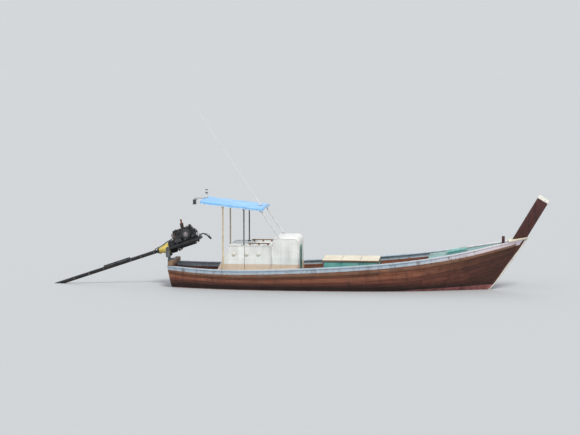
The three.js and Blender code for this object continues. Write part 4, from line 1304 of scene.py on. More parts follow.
for name, side in (("starboard", -1), ("port", 1)):
    trees = surface(f"rounded_gunwale_{name}")
    tops = enumerate([across_top(trees, -4.25 + i * 0.2, side) for i in range(42)])
    gunwale_bolts += [facing(*top, i) for i, top in tops if top[0]]
    for x in (-1.62, 1.36):
        here, up = across_top(trees, x, side)
        aft, fore = across_top(trees, x - 0.1, side)[0], across_top(trees, x + 0.1, side)[0]
        along = (fore - aft).normalized()
        slant = (along + up.cross(along).normalized() * SCARF_SLANT * side).normalized()
        turn = Matrix((slant, up.cross(slant).normalized(), up)).transposed().to_4x4()
        scarf_places.append(Matrix.Translation(here) @ turn)
bolts("gunwale_bolts", 8, 4, gunwale_bolts, *HULL_IRON)
scarf = box((-0.085, -0.0015, -0.001), (0.085, 0.0015, 0.0012), 0.0004, 1)
copies("gunwale_scarfs", scarf, scarf_places, "hull", "gunwale_paint", caulk)
print("gunwale bolts:", len(gunwale_bolts), "scarfs:", len(scarf_places))

# %% Stem band
STEM_TOP = 1.19
BAND_WIDE = 0.034
BAND_OUT = 0.003  # from the stem's edge to the middle of the band

stem_skin = surface("rounded_stem")
edge = [drop(stem_skin, (7, 0, -0.28 + 0.04 * i), ASTERN)[0] for i in range(38)]
edge = [point for point in edge if point and point.z < STEM_TOP]
steps = len(edge) - 1
deselect()
bpy.ops.mesh.primitive_cube_add(size=1, location=(0, 0, 0.5), scale=(0.010, BAND_WIDE, 1))
band = placed(bpy.context.object)
edit(band)
pick("EDGE", lambda e: all(v.co.x > 0 for v in e.verts) and abs(e.verts[0].co.z - e.verts[1].co.z) > 0.5)
bpy.ops.mesh.bevel(offset=0.008, segments=4, affect="EDGES")
for i in range(1, steps):
    select_all()
    bpy.ops.mesh.bisect(plane_co=(0, 0, i / steps), plane_no=UP)
object_mode()
for vertex in band.data.vertices:
    place = min(max(vertex.co.z, 0), 1) * steps
    low = min(int(place), steps - 1)
    slope = (edge[low + 1] - edge[low]).normalized()
    out = Vector((slope.z, 0, -slope.x)) * (vertex.co.x + BAND_OUT)
    vertex.co = edge[low].lerp(edge[low + 1], place - low) + out + Vector((0, vertex.co.y, 0))
band_paint = steel("stem_band", (222, 216, 206), (190, 184, 174), 0.30, 0.0, 0.5, 0.4)
made("stem_band", band, "hull", "galvanised_steel", band_paint)
print("stem band from", [round(c, 2) for c in edge[0]], "to", [round(c, 2) for c in edge[-1]])

# %% Stripe beside the stem band
STEM_STRIPE = 0.040
stem_line = power_fit([(point.z, point.x) for point in edge], 4)


def stem_bands(place, wood):
    """A pale stripe down both sides of the leading edge."""
    parts = split(place)
    behind = minus(power_sum(parts["Z"], stem_line), ragged(place, parts["X"], 0.005))
    stripe = spread(behind, STEM_STRIPE, STEM_STRIPE - 0.005)
    return mix(stripe, hull_bands(place, wood), (222, 216, 206))


stem_wood = bare_wood("stem_wood", *OILED, weather=0.25, bands=stem_bands)
bpy.data.objects["rounded_stem"].material_slots[0].material = stem_wood

# %% Bolts of the rubbing rails
RAIL_BELOW = 0.145  # from the gunwale's top down to the middle of the rail

rail_bolts = []
for name, side in (("starboard", -1), ("port", 1)):
    along = [-4.2 + i * 0.42 for i in range(20)]
    starts = [(x, side * 1.5, sheer_height(x) - RAIL_BELOW) for x in along]
    rail_bolts += places_on(surface(f"rounded_rub_rail_{name}"), starts, (0, -side, 0), spin=1)
bolts("rail_bolts", 9, 5, rail_bolts, *HULL_IRON)
print("rubbing rail bolts:", len(rail_bolts))

# %% [markdown]
# ## Painted ribs and floorboards
# The ribs are steam-bent timbers, painted with the inside of the boat. They get rounded edges from
# the same bevel, and then nail heads along their faces. The floorboards are nailed to the ribs.

# %% Ribs and their nails
softened("ribs", 0.004, 1)
rib_skin = surface("rounded_ribs")
starts = [(x, 0, z) for x in RIB_PLACES for z in (0.1, 0.22, 0.34, 0.46, 0.58)]
rib_nails = []
for side in SIDES:
    rib_nails += places_on(rib_skin, starts, (0, side, 0), lambda point, normal: abs(normal.x) < 0.3)
nail = turned([(-1, 6), (1.2, 5.5), (2, 3)], 6)
copies("rib_nails", nail, rib_nails, *HULL_IRON)

BOARD_TOP = -0.042
starts = [(x, i * 0.139 + dy, 0.5) for x in RIB_PLACES for i in range(-4, 5) for dy in (-0.04, 0.04)]
board_skin = surface("boarded_floorboards")
board_nails = places_on(board_skin, starts, DOWN, lambda p, out: out.z > 0.9 and p.z > BOARD_TOP)
nail = turned([(-1, 6), (1, 5.5), (1.4, 3)], 6)
copies("floorboard_nails", nail, board_nails, *HULL_IRON)
print("rib nails:", len(rib_nails), "floorboard nails:", len(board_nails))

# %% [markdown]
# ## The deckhouse
# The house is plywood on a light frame. Battens cover its joints, a moulding closes the corner with
# the deck, mushroom vents air it, and grab rails run along the roof. All are small, so each starts
# as one block, tube or turned shape at its place, and the other side of the boat gets its own copy.

# %% Bars along a path, and mirrored pieces
def smooth_path(points, steps=6):
    """A curve through all points, as more points (Catmull-Rom)."""
    points = [Vector(p) for p in points]
    rows = [points[0] * 2 - points[1], *points, points[-1] * 2 - points[-2]]
    path = []
    for a, b, c, d in zip(rows, rows[1:], rows[2:], rows[3:]):
        for step in range(steps):
            t = step / steps
            bend = (2 * a - 5 * b + 4 * c - d) * t * t + (3 * b - a - 3 * c + d) * t * t * t
            path.append(b + ((c - a) * t + bend) / 2)
    return [*path, points[-1]]


def circle(radius, count, start=0.0):
    """Points round a circle, as pairs."""
    turns = [start + 2 * math.pi * i / count for i in range(count)]
    return [(radius * math.cos(turn), radius * math.sin(turn)) for turn in turns]


def tube(points, radius, place=Matrix(), closed=False, resolution=2):
    """A round bar along points, made as a curve and turned into a mesh."""
    curve = bpy.data.curves.new("bar", "CURVE")
    curve.dimensions = "3D"
    curve.bevel_depth = radius
    curve.bevel_resolution = resolution
    curve.use_fill_caps = not closed
    line = curve.splines.new("POLY")
    line.points.add(len(points) - 1)
    for corner_point, point in zip(line.points, points):
        corner_point.co = (*point, 1)
    line.use_cyclic_u = closed
    bar = bpy.data.objects.new("bar", curve)
    bpy.context.collection.objects.link(bar)
    activate(bar)
    bpy.ops.object.convert(target="MESH")
    bar = bpy.context.object
    bar.data.transform(place)
    edit(bar)
    select_all()
    bpy.ops.mesh.remove_doubles(threshold=0.00001)
    return outward(bar)


def both_sides(name, shapes, *where):
    """The same piece for port and, turned over, for starboard."""
    port = made(f"{name}_port", shapes, *where)
    starboard = duplicate(port)
    starboard.data.transform(Matrix.Scale(-1, 4, PORT))
    made(f"{name}_starboard", outward(starboard), *where)


# %% Mouldings, battens and grab rails
HOUSE_HALF, HOUSE_FRONT, HOUSE_WALL, ROOF = 0.608, -1.15, -1.797, 1.07
HOUSE_PAINT = "hull", "house_paint"

deck_skin = surface("boarded_side_deck_port")
deck = [drop(deck_skin, (-3.02 + i * 0.165, HOUSE_HALF + 0.012, 1.5), DOWN)[0] for i in range(12)]
foot = [(point.x, HOUSE_HALF + 0.007, point.z + 0.006) for point in deck if point]
both_sides("deck_moulding", tube(foot, 0.010), *HOUSE_PAINT)
both_sides("roof_batten", box((-2.842, 0.588, ROOF), (-1.80, 0.612, ROOF + 0.014), 0.005), *HOUSE_PAINT)
posts = [box((x, 0.418, ROOF), (x + 0.044, 0.442, ROOF + 0.036), 0.006) for x in (-2.382, -2.162, -1.942)]
bar = box((-2.42, 0.416, ROOF + 0.034), (-1.86, 0.444, ROOF + 0.060), 0.011, 3)
both_sides("grab_rail", [bar, *posts], "hull", "bare_boards")
house_corner = box(
    (HOUSE_FRONT - 0.001, HOUSE_HALF - 0.030, 0.61), (HOUSE_FRONT + 0.007, HOUSE_HALF + 0.006, 1.09)
)
both_sides("house_corner_batten", house_corner, *HOUSE_PAINT)
wall = box((HOUSE_WALL - 0.014, HOUSE_HALF, 0.62), (HOUSE_WALL + 0.014, HOUSE_HALF + 0.008, ROOF - 0.004))
both_sides("house_wall_batten", wall, *HOUSE_PAINT)
made("roof_back_batten", box((-2.868, -0.600, 1.048), (-2.846, 0.600, 1.078), 0.005), *HOUSE_PAINT)
drip = box((HOUSE_FRONT, -0.57, 1.086), (HOUSE_FRONT + 0.014, 0.57, 1.104), 0.005)
made("drip_batten", drip, *HOUSE_PAINT)

# %% Vents
VENT = [
    (-1, 46), (4, 46), (5, 43), (5, 26), (16, 24), (16.2, 40), (20, 42), (26, 36), (31, 22), (33, 8),
]
vent_paint = steel("vent_paint", (226, 220, 210), (204, 200, 190), 0.30)
vents = [facing((x, side * HOUSE_HALF, 0.87), (0, side, 0)) for x in (-2.74, -2.42, -2.13) for side in SIDES]
copies("house_vents", turned(VENT, 24), vents, *HOUSE_PAINT, vent_paint)
spots = [Matrix.Translation((0.040 * math.cos(a), 0.040 * math.sin(a), 0.004)) for a in (0.8, 2.4, 3.9, 5.5)]
screw = turned([(0, 3), (1, 2)], 6)
copies("vent_screws", screw, [vent @ spot for vent in vents for spot in spots], *HULL_IRON)
print("vents:", len(vents))

# %% Screws along the battens
FLAT_HEAD = [(-0.5, 4.5), (0.8, 4), (1.3, 2)]

house_screws = [facing((HOUSE_FRONT + 0.014, -0.5 + i * 0.125, 1.095), AHEAD) for i in range(9)]
for side in SIDES:
    out = (0, side, 0)
    house_screws += [facing((-2.80 + i * 0.16, side * 0.600, ROOF + 0.014), UP) for i in range(7)]
    wall_y = side * (HOUSE_HALF + 0.008)
    house_screws += [facing((HOUSE_WALL, wall_y, 0.68 + i * 0.11), out) for i in range(4)]
    house_screws += [facing((HOUSE_FRONT + 0.007, side * 0.596, 0.66 + i * 0.10), AHEAD) for i in range(5)]
copies("house_screws", turned(FLAT_HEAD, 6), house_screws, *HULL_IRON)
print("screws on the house:", len(house_screws))

# %% [markdown]
# ## The door
# The door is four upright boards held by three ledges. Its frame and half of each hinge stay on the
# house, and the ledges, the handle and the other half of each hinge go with the door. The hinge pins
# lie on the joint's axis, so the halves stay together as the door turns.

# %% Door and its frame
LEDGES = (0.16, 0.50, 0.85)
HANDLE_LOW, HANDLE_HIGH = 0.60, 0.72


def on_front(thick, low, high, round_off=0.003):
    """A flat bar on the front of the house, between two corners given by Y and Z."""
    return box((HOUSE_FRONT, *low), (HOUSE_FRONT + thick, *high), round_off)


jambs = [on_front(0.010, (low, 0.03), (high, 1.052)) for low, high in ((0.230, 0.260), (-0.240, -0.209))]
lintel = on_front(0.010, (-0.209, 1.014), (0.230, 1.044))
sill = on_front(0.016, (-0.209, 0.034), (0.230, 0.058))
made("door_frame", [*jambs, lintel, sill], "hull", "inside_paint")
ledges = [on_front(0.011, (-0.186, z), (0.150, z + 0.07)) for z in LEDGES]
made("door_ledges", ledges, "deckhouse_door", "door_paint")
grip = [(0, 0, 0), (0.028, 0, 0.006), (0.034, 0, 0.02), (0.034, 0, 0.10), (0.028, 0, 0.114), (0, 0, 0.12)]
handle = tube(smooth_path(grip, 4), 0.0055, Matrix.Translation((HOUSE_FRONT, -0.165, HANDLE_LOW)))
ends = (HANDLE_LOW, HANDLE_HIGH)
plates = [on_front(0.003, (-0.177, z - 0.012), (-0.153, z + 0.012), 0.001) for z in ends]
made("door_handle", [handle, *plates], "deckhouse_door", "galvanised_steel")

# %% Door hinges and nails
PIN_Y = 0.205  # the joint's axis, on the front of the house
KNUCKLE = 4.4  # its radius, less than from the pin to the door's edge, so that the door clears it
HINGE_HEIGHTS = (0.27, 0.78)
HOUSE_HALF_HINGE = 1, 0.022, [(-34, -12), (12, 34)]
DOOR_HALF_HINGE = -1, 0.050, [(-11, 11)]


def hinge_half(z, side, reach, rows):
    """One leaf of a hinge and its knuckles, which fill some rows of the pin's length."""
    pin = Matrix.Translation((HOUSE_FRONT, PIN_Y, z))
    turn = pin @ Matrix.Scale(side, 4, PORT)
    shapes = [box((0.0002, 0.0065, -0.034), (0.0027, reach, 0.034), 0.0008, 2, turn)]
    for low, high in rows:
        shapes.append(box((0.0003, 0.002, low / 1000), (0.0026, 0.0085, high / 1000), 0.0005, 2, turn))
        barrel = [(low, 3.6), (low + 1, KNUCKLE), (high - 1, KNUCKLE), (high, 3.6)]
        shapes.append(turned(barrel, 14, pin))
    return shapes


for name, body, half in (("house", "hull", HOUSE_HALF_HINGE), ("door", "deckhouse_door", DOOR_HALF_HINGE)):
    shapes = [shape for z in HINGE_HEIGHTS for shape in hinge_half(z, *half)]
    outward(made(f"door_hinges_{name}", shapes, body, "galvanised_steel"))
NAIL_ROW = (-0.17, -0.13, -0.07, -0.03, 0.03, 0.07, 0.10, 0.135)
door_nails = [facing((HOUSE_FRONT + 0.011, y, z + 0.035), AHEAD) for z in LEDGES for y in NAIL_ROW]
copies("door_nails", turned(FLAT_HEAD, 6), door_nails, "deckhouse_door", "galvanised_steel", iron_nail)
print("door nails:", len(door_nails))

# %% [markdown]
# ## Hold and hatches
# The hold is an insulated box. Iron angles guard its corners, its lid shuts on a rubber seal, two
# drop handles lift it, and three hinges carry it on the port side. The foredeck hatch has a ring
# to lift it and hinges at its forward edge.

# %% Hold box
HOLD_AFT, HOLD_FORE, HOLD_HALF = -0.56, 0.79, 0.52
ANGLE_WIDE, ANGLE_THICK, ANGLE_TALL = 0.034, 0.003, 0.684

angles = []
for x, out in ((HOLD_AFT, -1), (HOLD_FORE, 1)):
    for side in SIDES:
        y = side * HOLD_HALF
        far_x, far_y = x + out * ANGLE_THICK, y + side * ANGLE_THICK
        angles.append(box((far_x, y, 0), (x - out * ANGLE_WIDE, far_y, ANGLE_TALL), 0.001))
        angles.append(box((x, far_y, 0), (far_x, y - side * ANGLE_WIDE, ANGLE_TALL), 0.001))
made("hold_corner_angles", angles, "hull", "galvanised_steel")

# %% Lid of the hold
LID_LOW, LID_HIGH, LID_HALF = 0.695, 0.735, 0.535
HOLD_LID = "hold_cover", "galvanised_steel"
SEAL_LOW = LID_LOW - 0.0045

rubber = steel("black_rubber", (32, 32, 33), (20, 20, 21), 0.0, 0.0, 0.7, 0.5)
seal = [
    box((HOLD_AFT + 0.006, y - 0.010, SEAL_LOW), (HOLD_FORE - 0.006, y + 0.010, LID_LOW), 0.002)
    for y in (0.018 - HOLD_HALF, HOLD_HALF - 0.018)
]
for x in (HOLD_AFT + 0.018, HOLD_FORE - 0.018):
    seal.append(box((x - 0.010, 0.030 - HOLD_HALF, SEAL_LOW), (x + 0.010, HOLD_HALF - 0.030, LID_LOW), 0.002))
made("hold_lid_seal", seal, "hold_cover", "cream_paint", rubber)

arch = [(-0.07, 0, 0), (-0.066, -0.020, 0), (-0.05, -0.028, 0)]
arch += [(-x, y, z) for x, y, z in reversed(arch)]
lifts = []
for x in (-0.15, 0.38):
    lifts.append(tube(smooth_path(arch, 4), 0.0055, Matrix.Translation((x, -LID_HALF, 0.715))))
    for end in (x - 0.07, x + 0.07):
        lug = box((end - 0.014, -LID_HALF - 0.003, 0.703), (end + 0.014, -LID_HALF, 0.727), 0.001)
        lifts.append(lug)
made("hold_lid_handles", lifts, *HOLD_LID)

knuckle = [(-30, 4.5), (-29, 5), (29, 5), (30, 4.5)]
lid_leaves, box_leaves = [], []
for x in (-0.36, 0.115, 0.59):
    pin = Matrix.Translation((x, LID_HALF, LID_LOW)) @ Matrix.Rotation(math.pi / 2, 4, "Y")
    leaf = (x - 0.028, LID_HALF, LID_LOW + 0.003), (x + 0.028, LID_HALF + 0.0025, LID_HIGH - 0.004)
    lid_leaves += [turned(knuckle, 12, pin), box(*leaf, 0.0008)]
    box_leaves += [
        box((x - 0.028, HOLD_HALF, 0.642), (x + 0.028, HOLD_HALF + 0.0025, 0.688), 0.0008),
        box((x - 0.026, HOLD_HALF, 0.678), (x + 0.026, HOLD_HALF + 0.012, 0.686), 0.001),
    ]
made("hold_hinges_lid", lid_leaves, *HOLD_LID)
made("hold_hinges_box", box_leaves, "hull", "galvanised_steel")

EDGE_HIGH = LID_HIGH - 0.002
edging = [
    box((HOLD_AFT - 0.015, -LID_HALF - 0.004, LID_LOW), (HOLD_FORE + 0.015, -LID_HALF + 0.0001, EDGE_HIGH)),
    box((HOLD_AFT - 0.019, -LID_HALF, LID_LOW), (HOLD_AFT - 0.0149, LID_HALF, EDGE_HIGH)),
    box((HOLD_FORE + 0.0149, -LID_HALF, LID_LOW), (HOLD_FORE + 0.019, LID_HALF, EDGE_HIGH)),
]
made("hold_lid_edging", edging, *HOLD_LID, FINISHES["bare_boards"])
battens = [
    box((HOLD_AFT - 0.012, y - 0.012, -0.037), (HOLD_FORE + 0.012, y + 0.012, 0.0), 0.004)
    for y in (-HOLD_HALF, HOLD_HALF)
]
made("hold_foot_battens", battens, "hull", "bare_boards")
print("pieces of the hold's lid:", len(seal) + len(lifts) + len(lid_leaves) + len(edging))

# %% Foredeck hatch fittings
HATCH = "hatch_cover", "galvanised_steel"

middle, up = drop(surface("boarded_foredeck_hatch"), (2.70, 0.02, 2), DOWN)
hatch_place = Matrix((Vector((up.z, 0, -up.x)), PORT, up)).transposed().to_4x4()
hatch_place.translation = middle
ring_place = hatch_place @ Matrix.Translation((-0.185, 0, 0))
ring = tube([(x, y, 0.006) for x, y in circle(0.026, 24)], 0.004, ring_place, closed=True)
plate = box((-0.045, -0.022, -0.0005), (-0.012, 0.022, 0.003), 0.001, 2, ring_place)
made("hatch_ring", [ring, plate], *HATCH)
straps = [box((0.05, y, -0.0005), (0.236, y + 0.03, 0.003), 0.001, 2, hatch_place) for y in (-0.165, 0.135)]
made("hatch_straps", straps, *HATCH)
strap_bolts = [(x, y, 0.003) for y in (-0.15, 0.15) for x in (0.07, 0.13, 0.19)]
strap_bolts = [hatch_place @ Matrix.Translation(place) for place in strap_bolts]
bolts("hatch_bolts", 6, 4, strap_bolts, *HATCH, iron_nail)
print("hatch slope:", round(math.degrees(math.asin(-up.x)), 1), "degrees")

# %% [markdown]
# ## The engine's fittings
# The engine is an old lorry diesel on a steel cradle. Its points are given in its own frame, in
# millimetres, where X runs along the shaft to the bow and Z is square to it. That frame slopes with
# the shaft. The castings come from the CAD model, and this adds what is screwed to them: covers,
# bolts, injectors and their lines, pumps, filters, the alternator with its belt, and the cooling
# hose.

# %% The engine's own frame
SHAFT_SLOPE = math.radians(18.6)
ENGINE = Matrix.Translation((-4.45, 0, 0.936)) @ Matrix.Rotation(-SHAFT_SLOPE, 4, "Y")


def metres(point):
    """A point given in millimetres."""
    return Vector(point) / 1000


def at(point, out=UP, turn=0.0):
    """A place on the engine, given in millimetres, with Z pointing out."""
    return ENGINE @ facing(metres(point), out, turn)


def engine_box(one, other, round_off=3):
    """A block on the engine, in millimetres."""
    return box(metres(one), metres(other), round_off / 1000, 2, ENGINE)


def pipe(points, radius, steps=5):
    """A smooth pipe on the engine, in millimetres."""
    return tube(smooth_path([metres(p) for p in points], steps), radius / 1000, ENGINE)


def collar(low, high, length, sides, place):
    """A ring round Z, of an inner and an outer radius, with its edges sloped off."""
    half = length / 2
    return turned([(-half, low), (1 - half, high), (half - 1, high), (half, low)], sides, place)


steel_bolt = steel("engine_bolts", (120, 120, 118), (84, 84, 84), 0.4, 0.6, 0.5)
pale_cap = steel("pale_cap", (150, 144, 144), (118, 112, 112), 0.22, 0.1, 0.45, 0.6)
hose_rubber = steel("hose_rubber", (40, 40, 42), (26, 26, 28), 0.0, 0.0, 0.62, 0.5)
copper_pipe = steel("dull_copper", (138, 92, 66), (96, 74, 60), 0.1, 0.8, 0.42, 0.5)
casting = steel("grey_casting", (78, 80, 84), (54, 56, 60), 0.24, 0.45, 0.5, 0.8)
ENGINE_STEEL = "power_unit", "galvanised_steel"
BRIGHT = *ENGINE_STEEL, steel_bolt
COPPER = *ENGINE_STEEL, copper_pipe
IRON = "power_unit", "engine_iron"
CAST = *IRON, casting
RUBBER = *IRON, hose_rubber
CAN = "power_unit", "filter_can"

# %% Bolts on the castings
HEAD_TOP, COVER_TOP, BLOCK_SIDE = 312, 366, 130
DOME_NUT = [(-1, 17), (2, 17), (2.1, 12), (10, 12), (10.2, 10), (18, 8.5), (22, 4)]
head_bolts = [at((225 + i * 78.5, side * 94, HEAD_TOP)) for i in range(7) for side in SIDES]
lug_bolts = [at((x, side * 190, 47)) for x in (265, 635) for side in SIDES]
bolts("engine_head_bolts", 13, 13, head_bolts + lug_bolts, *BRIGHT)
cover_nuts = [at((290 + i * 155, 0, COVER_TOP)) for i in range(3)]
copies("rocker_cover_nuts", turned(DOME_NUT, 12), cover_nuts, *BRIGHT)
sump_bolts = [at((235 + i * 49.5, side * 112, -56), DOWN) for i in range(10) for side in SIDES]
bell_bolts = [at((200, y, z), AHEAD) for y, z in circle(150, 12, math.pi / 12) if abs(y) > 128]
bolts("engine_small_bolts", 7, 6, sump_bolts + bell_bolts, *BRIGHT)
print("bolts on the castings:", len(head_bolts + lug_bolts + cover_nuts + sump_bolts + bell_bolts))

# %% Covers, ribs and plugs on the block
covers, ribs, plugs, cover_bolts = [], [], [], []
for side in SIDES:
    y, out = side * BLOCK_SIDE, (0, side, 0)
    covers.append(engine_box((215, y - 6, 150), (430, y + 6, 232), 4))
    plugs += [at((x, y, 85), out) for x in (265, 475)]
    face = y + side * 6
    cover_bolts += [at((228 + i * 47.5, face, z), out) for i in range(5) for z in (160, 222)]
covers += [
    engine_box((733, -118, -40), (744, 118, 246), 5),
    engine_box((205, -126, -62), (722, 126, -50), 3),
    engine_box((196, -122, 248), (728, 122, 256), 2),
]
made("engine_covers", covers, *CAST)
for y in (-BLOCK_SIDE, BLOCK_SIDE):
    for x in range(200, 830, 105):
        ribs.append(engine_box((x, y - 4, -45), (x + 12, y + 4, 140)))
made("engine_ribs", ribs, *IRON)
plug = turned([(-2, 22), (3, 22), (3, 18), (0.5, 17), (0.2, 4)], 20)
copies("core_plugs", plug, plugs, *BRIGHT)
cover_bolts += [at((744, y, z), AHEAD) for y in (-107, 107) for z in (-20, 50, 120, 190)]
bolts("cover_bolts", 6, 5, cover_bolts, *BRIGHT)
filler = [(-2, 28), (10, 28), (10.2, 34), (26, 34), (31, 30), (33, 12)]
made("oil_filler_cap", turned(filler, 12, at((672, 0, COVER_TOP))), *CAN)
print("covers:", len(covers), "bolts on them:", len(cover_bolts))

# %% Injectors and their pump
INJECTORS = (262, 382, 502, 622)
VALVES = (266, 299, 332, 365)
LEAN = (0, -0.42, 1)
INJECTOR = [(-2, 14), (10, 14), (10.2, 9), (30, 9), (30.2, 11), (40, 11), (40.2, 6), (50, 5)]
GOVERNOR = [(-35, 30), (-34, 40), (12, 42), (14, 30), (16, 10)]
VALVE = [(-1, 10), (8, 10), (8.2, 7), (20, 7), (20.2, 8.5), (30, 8.5), (31, 4)]
copies("injectors", turned(INJECTOR, 12), [at((x, -84, HEAD_TOP), LEAN) for x in INJECTORS], *BRIGHT)
pump = [
    engine_box((235, -192, 62), (395, -128, 142), 8),
    engine_box((250, -184, 140), (380, -146, 158), 4),
    turned(GOVERNOR, 20, at((228, -158, 100), ASTERN)),
]
made("injection_pump", pump, *CAST)
copies("delivery_valves", turned(VALVE, 6), [at((x, -165, 158)) for x in VALVES], *BRIGHT)

# %% Injector lines
lines = []
for number, (valve, injector) in enumerate(zip(VALVES, INJECTORS)):
    out = 150 + number * 3.5
    lines.append(pipe([
        (valve, -165, 187),
        (valve, -166, 215),
        (valve + 0.2 * (injector - valve), -out - 4, 258),
        (injector - 0.3 * (injector - valve), -out + 4, 305 + number * 4),
        (injector, -118, 352),
        (injector, -103, 358),
    ], 3.2))
made("injector_lines", lines, *BRIGHT)
leak = [(225, -85, 330), *[(x, -92, 353) for x in INJECTORS], (655, -80, 338)]
made("leak_off_line", pipe(leak, 2.2, 8), *COPPER)
print("injector lines:", len(lines))

# %% Filters and dipstick
OIL_FILTER = [(-4, 30), (4, 34), (10, 37), (80, 37), (88, 33), (91, 16)]
BOWL = [(0, 6), (4, 14), (10, 27), (70, 30), (70.2, 34), (82, 34), (82.2, 22), (96, 20), (104, 6)]
made("oil_filter", turned(OIL_FILTER, 24, at((692, -BLOCK_SIDE, 105), STARBOARD)), *CAN)
bracket = engine_box((196, -150, 282), (250, -106, 290), 2)
made("fuel_filter", [turned(BOWL, 20, at((205, -162, 205))), bracket], *CAN, pale_cap)
fuel_pipe = [(225, -162, 292), (252, -176, 288), (262, -188, 240), (246, -190, 185), (243, -186, 140)]
made("fuel_pipe", pipe(fuel_pipe, 4), *COPPER)
rod = [(455, 136, 10), (455, 150, 60), (462, 166, 200), (466, 170, 236)]
loop = [metres((466 + x * 9, 170, 248 + z * 12)) for x, z in circle(1, 16)]
made("dipstick", [pipe(rod, 4), tube(loop, 0.0018, ENGINE, closed=True)], *BRIGHT)

# %% Air filter trim
FILTER_CAP = [
    (0.5, 60), (3, 60), (6, 52), (6.5, 40), (13, 38), (14.5, 34), (14.5, 12), (22.5, 10), (24, 6),
]


def on_filter(y, turn=0.0):
    """A place on the air filter's axis, facing outboard."""
    return at((552, y, 198), STARBOARD, turn)


rim = [(-2, 111.5), (0, 114.5), (7, 114.5), (9, 111.5)]
rims = [turned(rim, 48, on_filter(y)) for y in (-156, -222)]
neck = turned([(-2, 52), (0, 56), (6, 56), (8, 52)], 32, on_filter(-138))
made("air_filter_rims", [*rims, neck], *CAN)
made("air_filter_cap", turned(FILTER_CAP, 32, on_filter(-236)), *CAN, pale_cap)
clip = box((-0.008, 0.1135, -0.004), (0.008, 0.118, 0.062), 0.001)
copies("air_filter_clips", clip, [on_filter(-160, turn) for turn in (0.3, 1.87, 3.44, 5.01)], *BRIGHT)

# %% Alternator and water pump
BELT_X = 762
ALTERNATOR, WATER_PUMP = (198, 165), (-10, 218)
DYNAMO = [
    (598, 30), (600, 52), (612, 60), (640, 62), (640.2, 58), (690, 58), (690.2, 62), (722, 60),
    (732, 48), (736, 16), (752, 12),
]
PULLEY = [(2, 0.82), (6, 1.0), (9, 1.0), (10, 0.5)]  # half of it, for a radius of 1
PULLEY = [(-z, radius) for z, radius in reversed(PULLEY)] + PULLEY
PUMP = [(730, 50), (742, 46), (744, 26), (756, 22)]
WHEEL_NUT = [(8, 12), (18, 12), (19, 6)]

made("alternator", turned(DYNAMO, 32, at((0, *ALTERNATOR), AHEAD)), *ENGINE_STEEL, casting)
axis = ENGINE @ Matrix.Translation(metres((0, *ALTERNATOR)))
around = [Matrix.Rotation(2 * math.pi * i / 18, 4, "X") for i in range(18)]
fin = box((-0.012, 0.0585, -0.0015), (0.012, 0.0635, 0.0015), 0.0008, 1)
fins = [axis @ Matrix.Translation((x, 0, 0)) @ turn for x in (0.618, 0.706) for turn in around]
copies("alternator_fins", fin, fins, *ENGINE_STEEL, casting)
wheels = []
for (y, z), radius in ((ALTERNATOR, 38), (WATER_PUMP, 52)):
    place = at((BELT_X, y, z), AHEAD)
    wheels.append(turned([(height, share * radius) for height, share in PULLEY], 32, place))
    wheels.append(turned(WHEEL_NUT, 6, place))
made("belt_pulleys", wheels, *IRON)
made("water_pump", turned(PUMP, 24, at((0, *WATER_PUMP), AHEAD)), *CAST)
arms = [
    engine_box((640, 128, 110), (660, 172, 128), 4),
    engine_box((700, 128, 110), (716, 172, 128), 4),
    pipe([(738, 100, 240), (738, 150, 250), (736, 200, 232)], 6),
]
made("alternator_arms", arms, *BRIGHT)
print("alternator fins:", len(fins))

# %% Belt
# The belt runs in the grooves, on the shortest loop round three circles: their common hull.
BELT_WIDE, BELT_THICK = 11, 8
rounds = [((0, 0), 79.5), (ALTERNATOR, 32.5), (WATER_PUMP, 44.5)]
points = [(round(y + dy, 2), round(z + dz, 2)) for (y, z), radius in rounds for dy, dz in circle(radius, 48)]
loop = [points[i] for i in convex_hull_2d(points)]
deselect()
bpy.ops.mesh.primitive_circle_add(vertices=len(loop), radius=1, fill_type="NOTHING")
belt = bpy.context.object
for vertex, (y, z) in zip(belt.data.vertices, loop):
    vertex.co = metres((BELT_X - BELT_WIDE / 2, y, z))
edit(belt)
select_all()
bpy.ops.mesh.extrude_region_move(TRANSFORM_OT_translate={"value": (BELT_WIDE / 1000, 0, 0)})
apply(outward(belt), "SOLIDIFY", thickness=BELT_THICK / 1000, offset=1)
belt.data.transform(ENGINE)
made("alternator_belt", outward(belt), *RUBBER)
print("belt loop points:", len(loop))

# %% Starter
MOTOR = [(196, 20), (198, 36), (214, 40), (352, 40), (360, 34), (364, 12)]
SWITCH = [(215, 16), (217, 21), (318, 21), (322, 16), (330, 6)]
starter = [
    turned(MOTOR, 28, at((0, 174, 106), AHEAD)),
    turned(SWITCH, 20, at((0, 176, 166), AHEAD)),
    engine_box((262, 126, 98), (284, 176, 112)),
]
made("starter", starter, *CAST)
wire = [
    (330, 176, 166), (352, 178, 176), (390, 160, 205), (440, 137, 236), (560, 136, 242),
    (606, 170, 205), (600, 190, 180),
]
made("starter_wire", pipe(wire, 4.5), *RUBBER)

# %% Exhaust flanges and silencer bands
PORTS = (270, 395, 520, 645)
SILENCER_LEAN = 0.149
flanges = [engine_box((x - 26, 108, 262), (x + 26, 120, 306)) for x in PORTS]
made("exhaust_flanges", flanges, "power_unit", "rusty_iron")
flange_nuts = [at((x + dx, 120, 284), PORT) for x in PORTS for dx in (-21, 21)]
bolts("exhaust_nuts", 6.5, 8, flange_nuts, *BRIGHT)
lean = Matrix.Rotation(SILENCER_LEAN, 4, "Y")
places = [ENGINE @ Matrix.Translation((0.4575, 0.140, z)) @ lean for z in (0.400, 0.452)]
straps = [collar(43.2, 45.5, 12, 32, place) for place in places]
made("silencer_bands", straps, "power_unit", "rusty_iron", steel_bolt)
print("exhaust nuts:", len(flange_nuts))

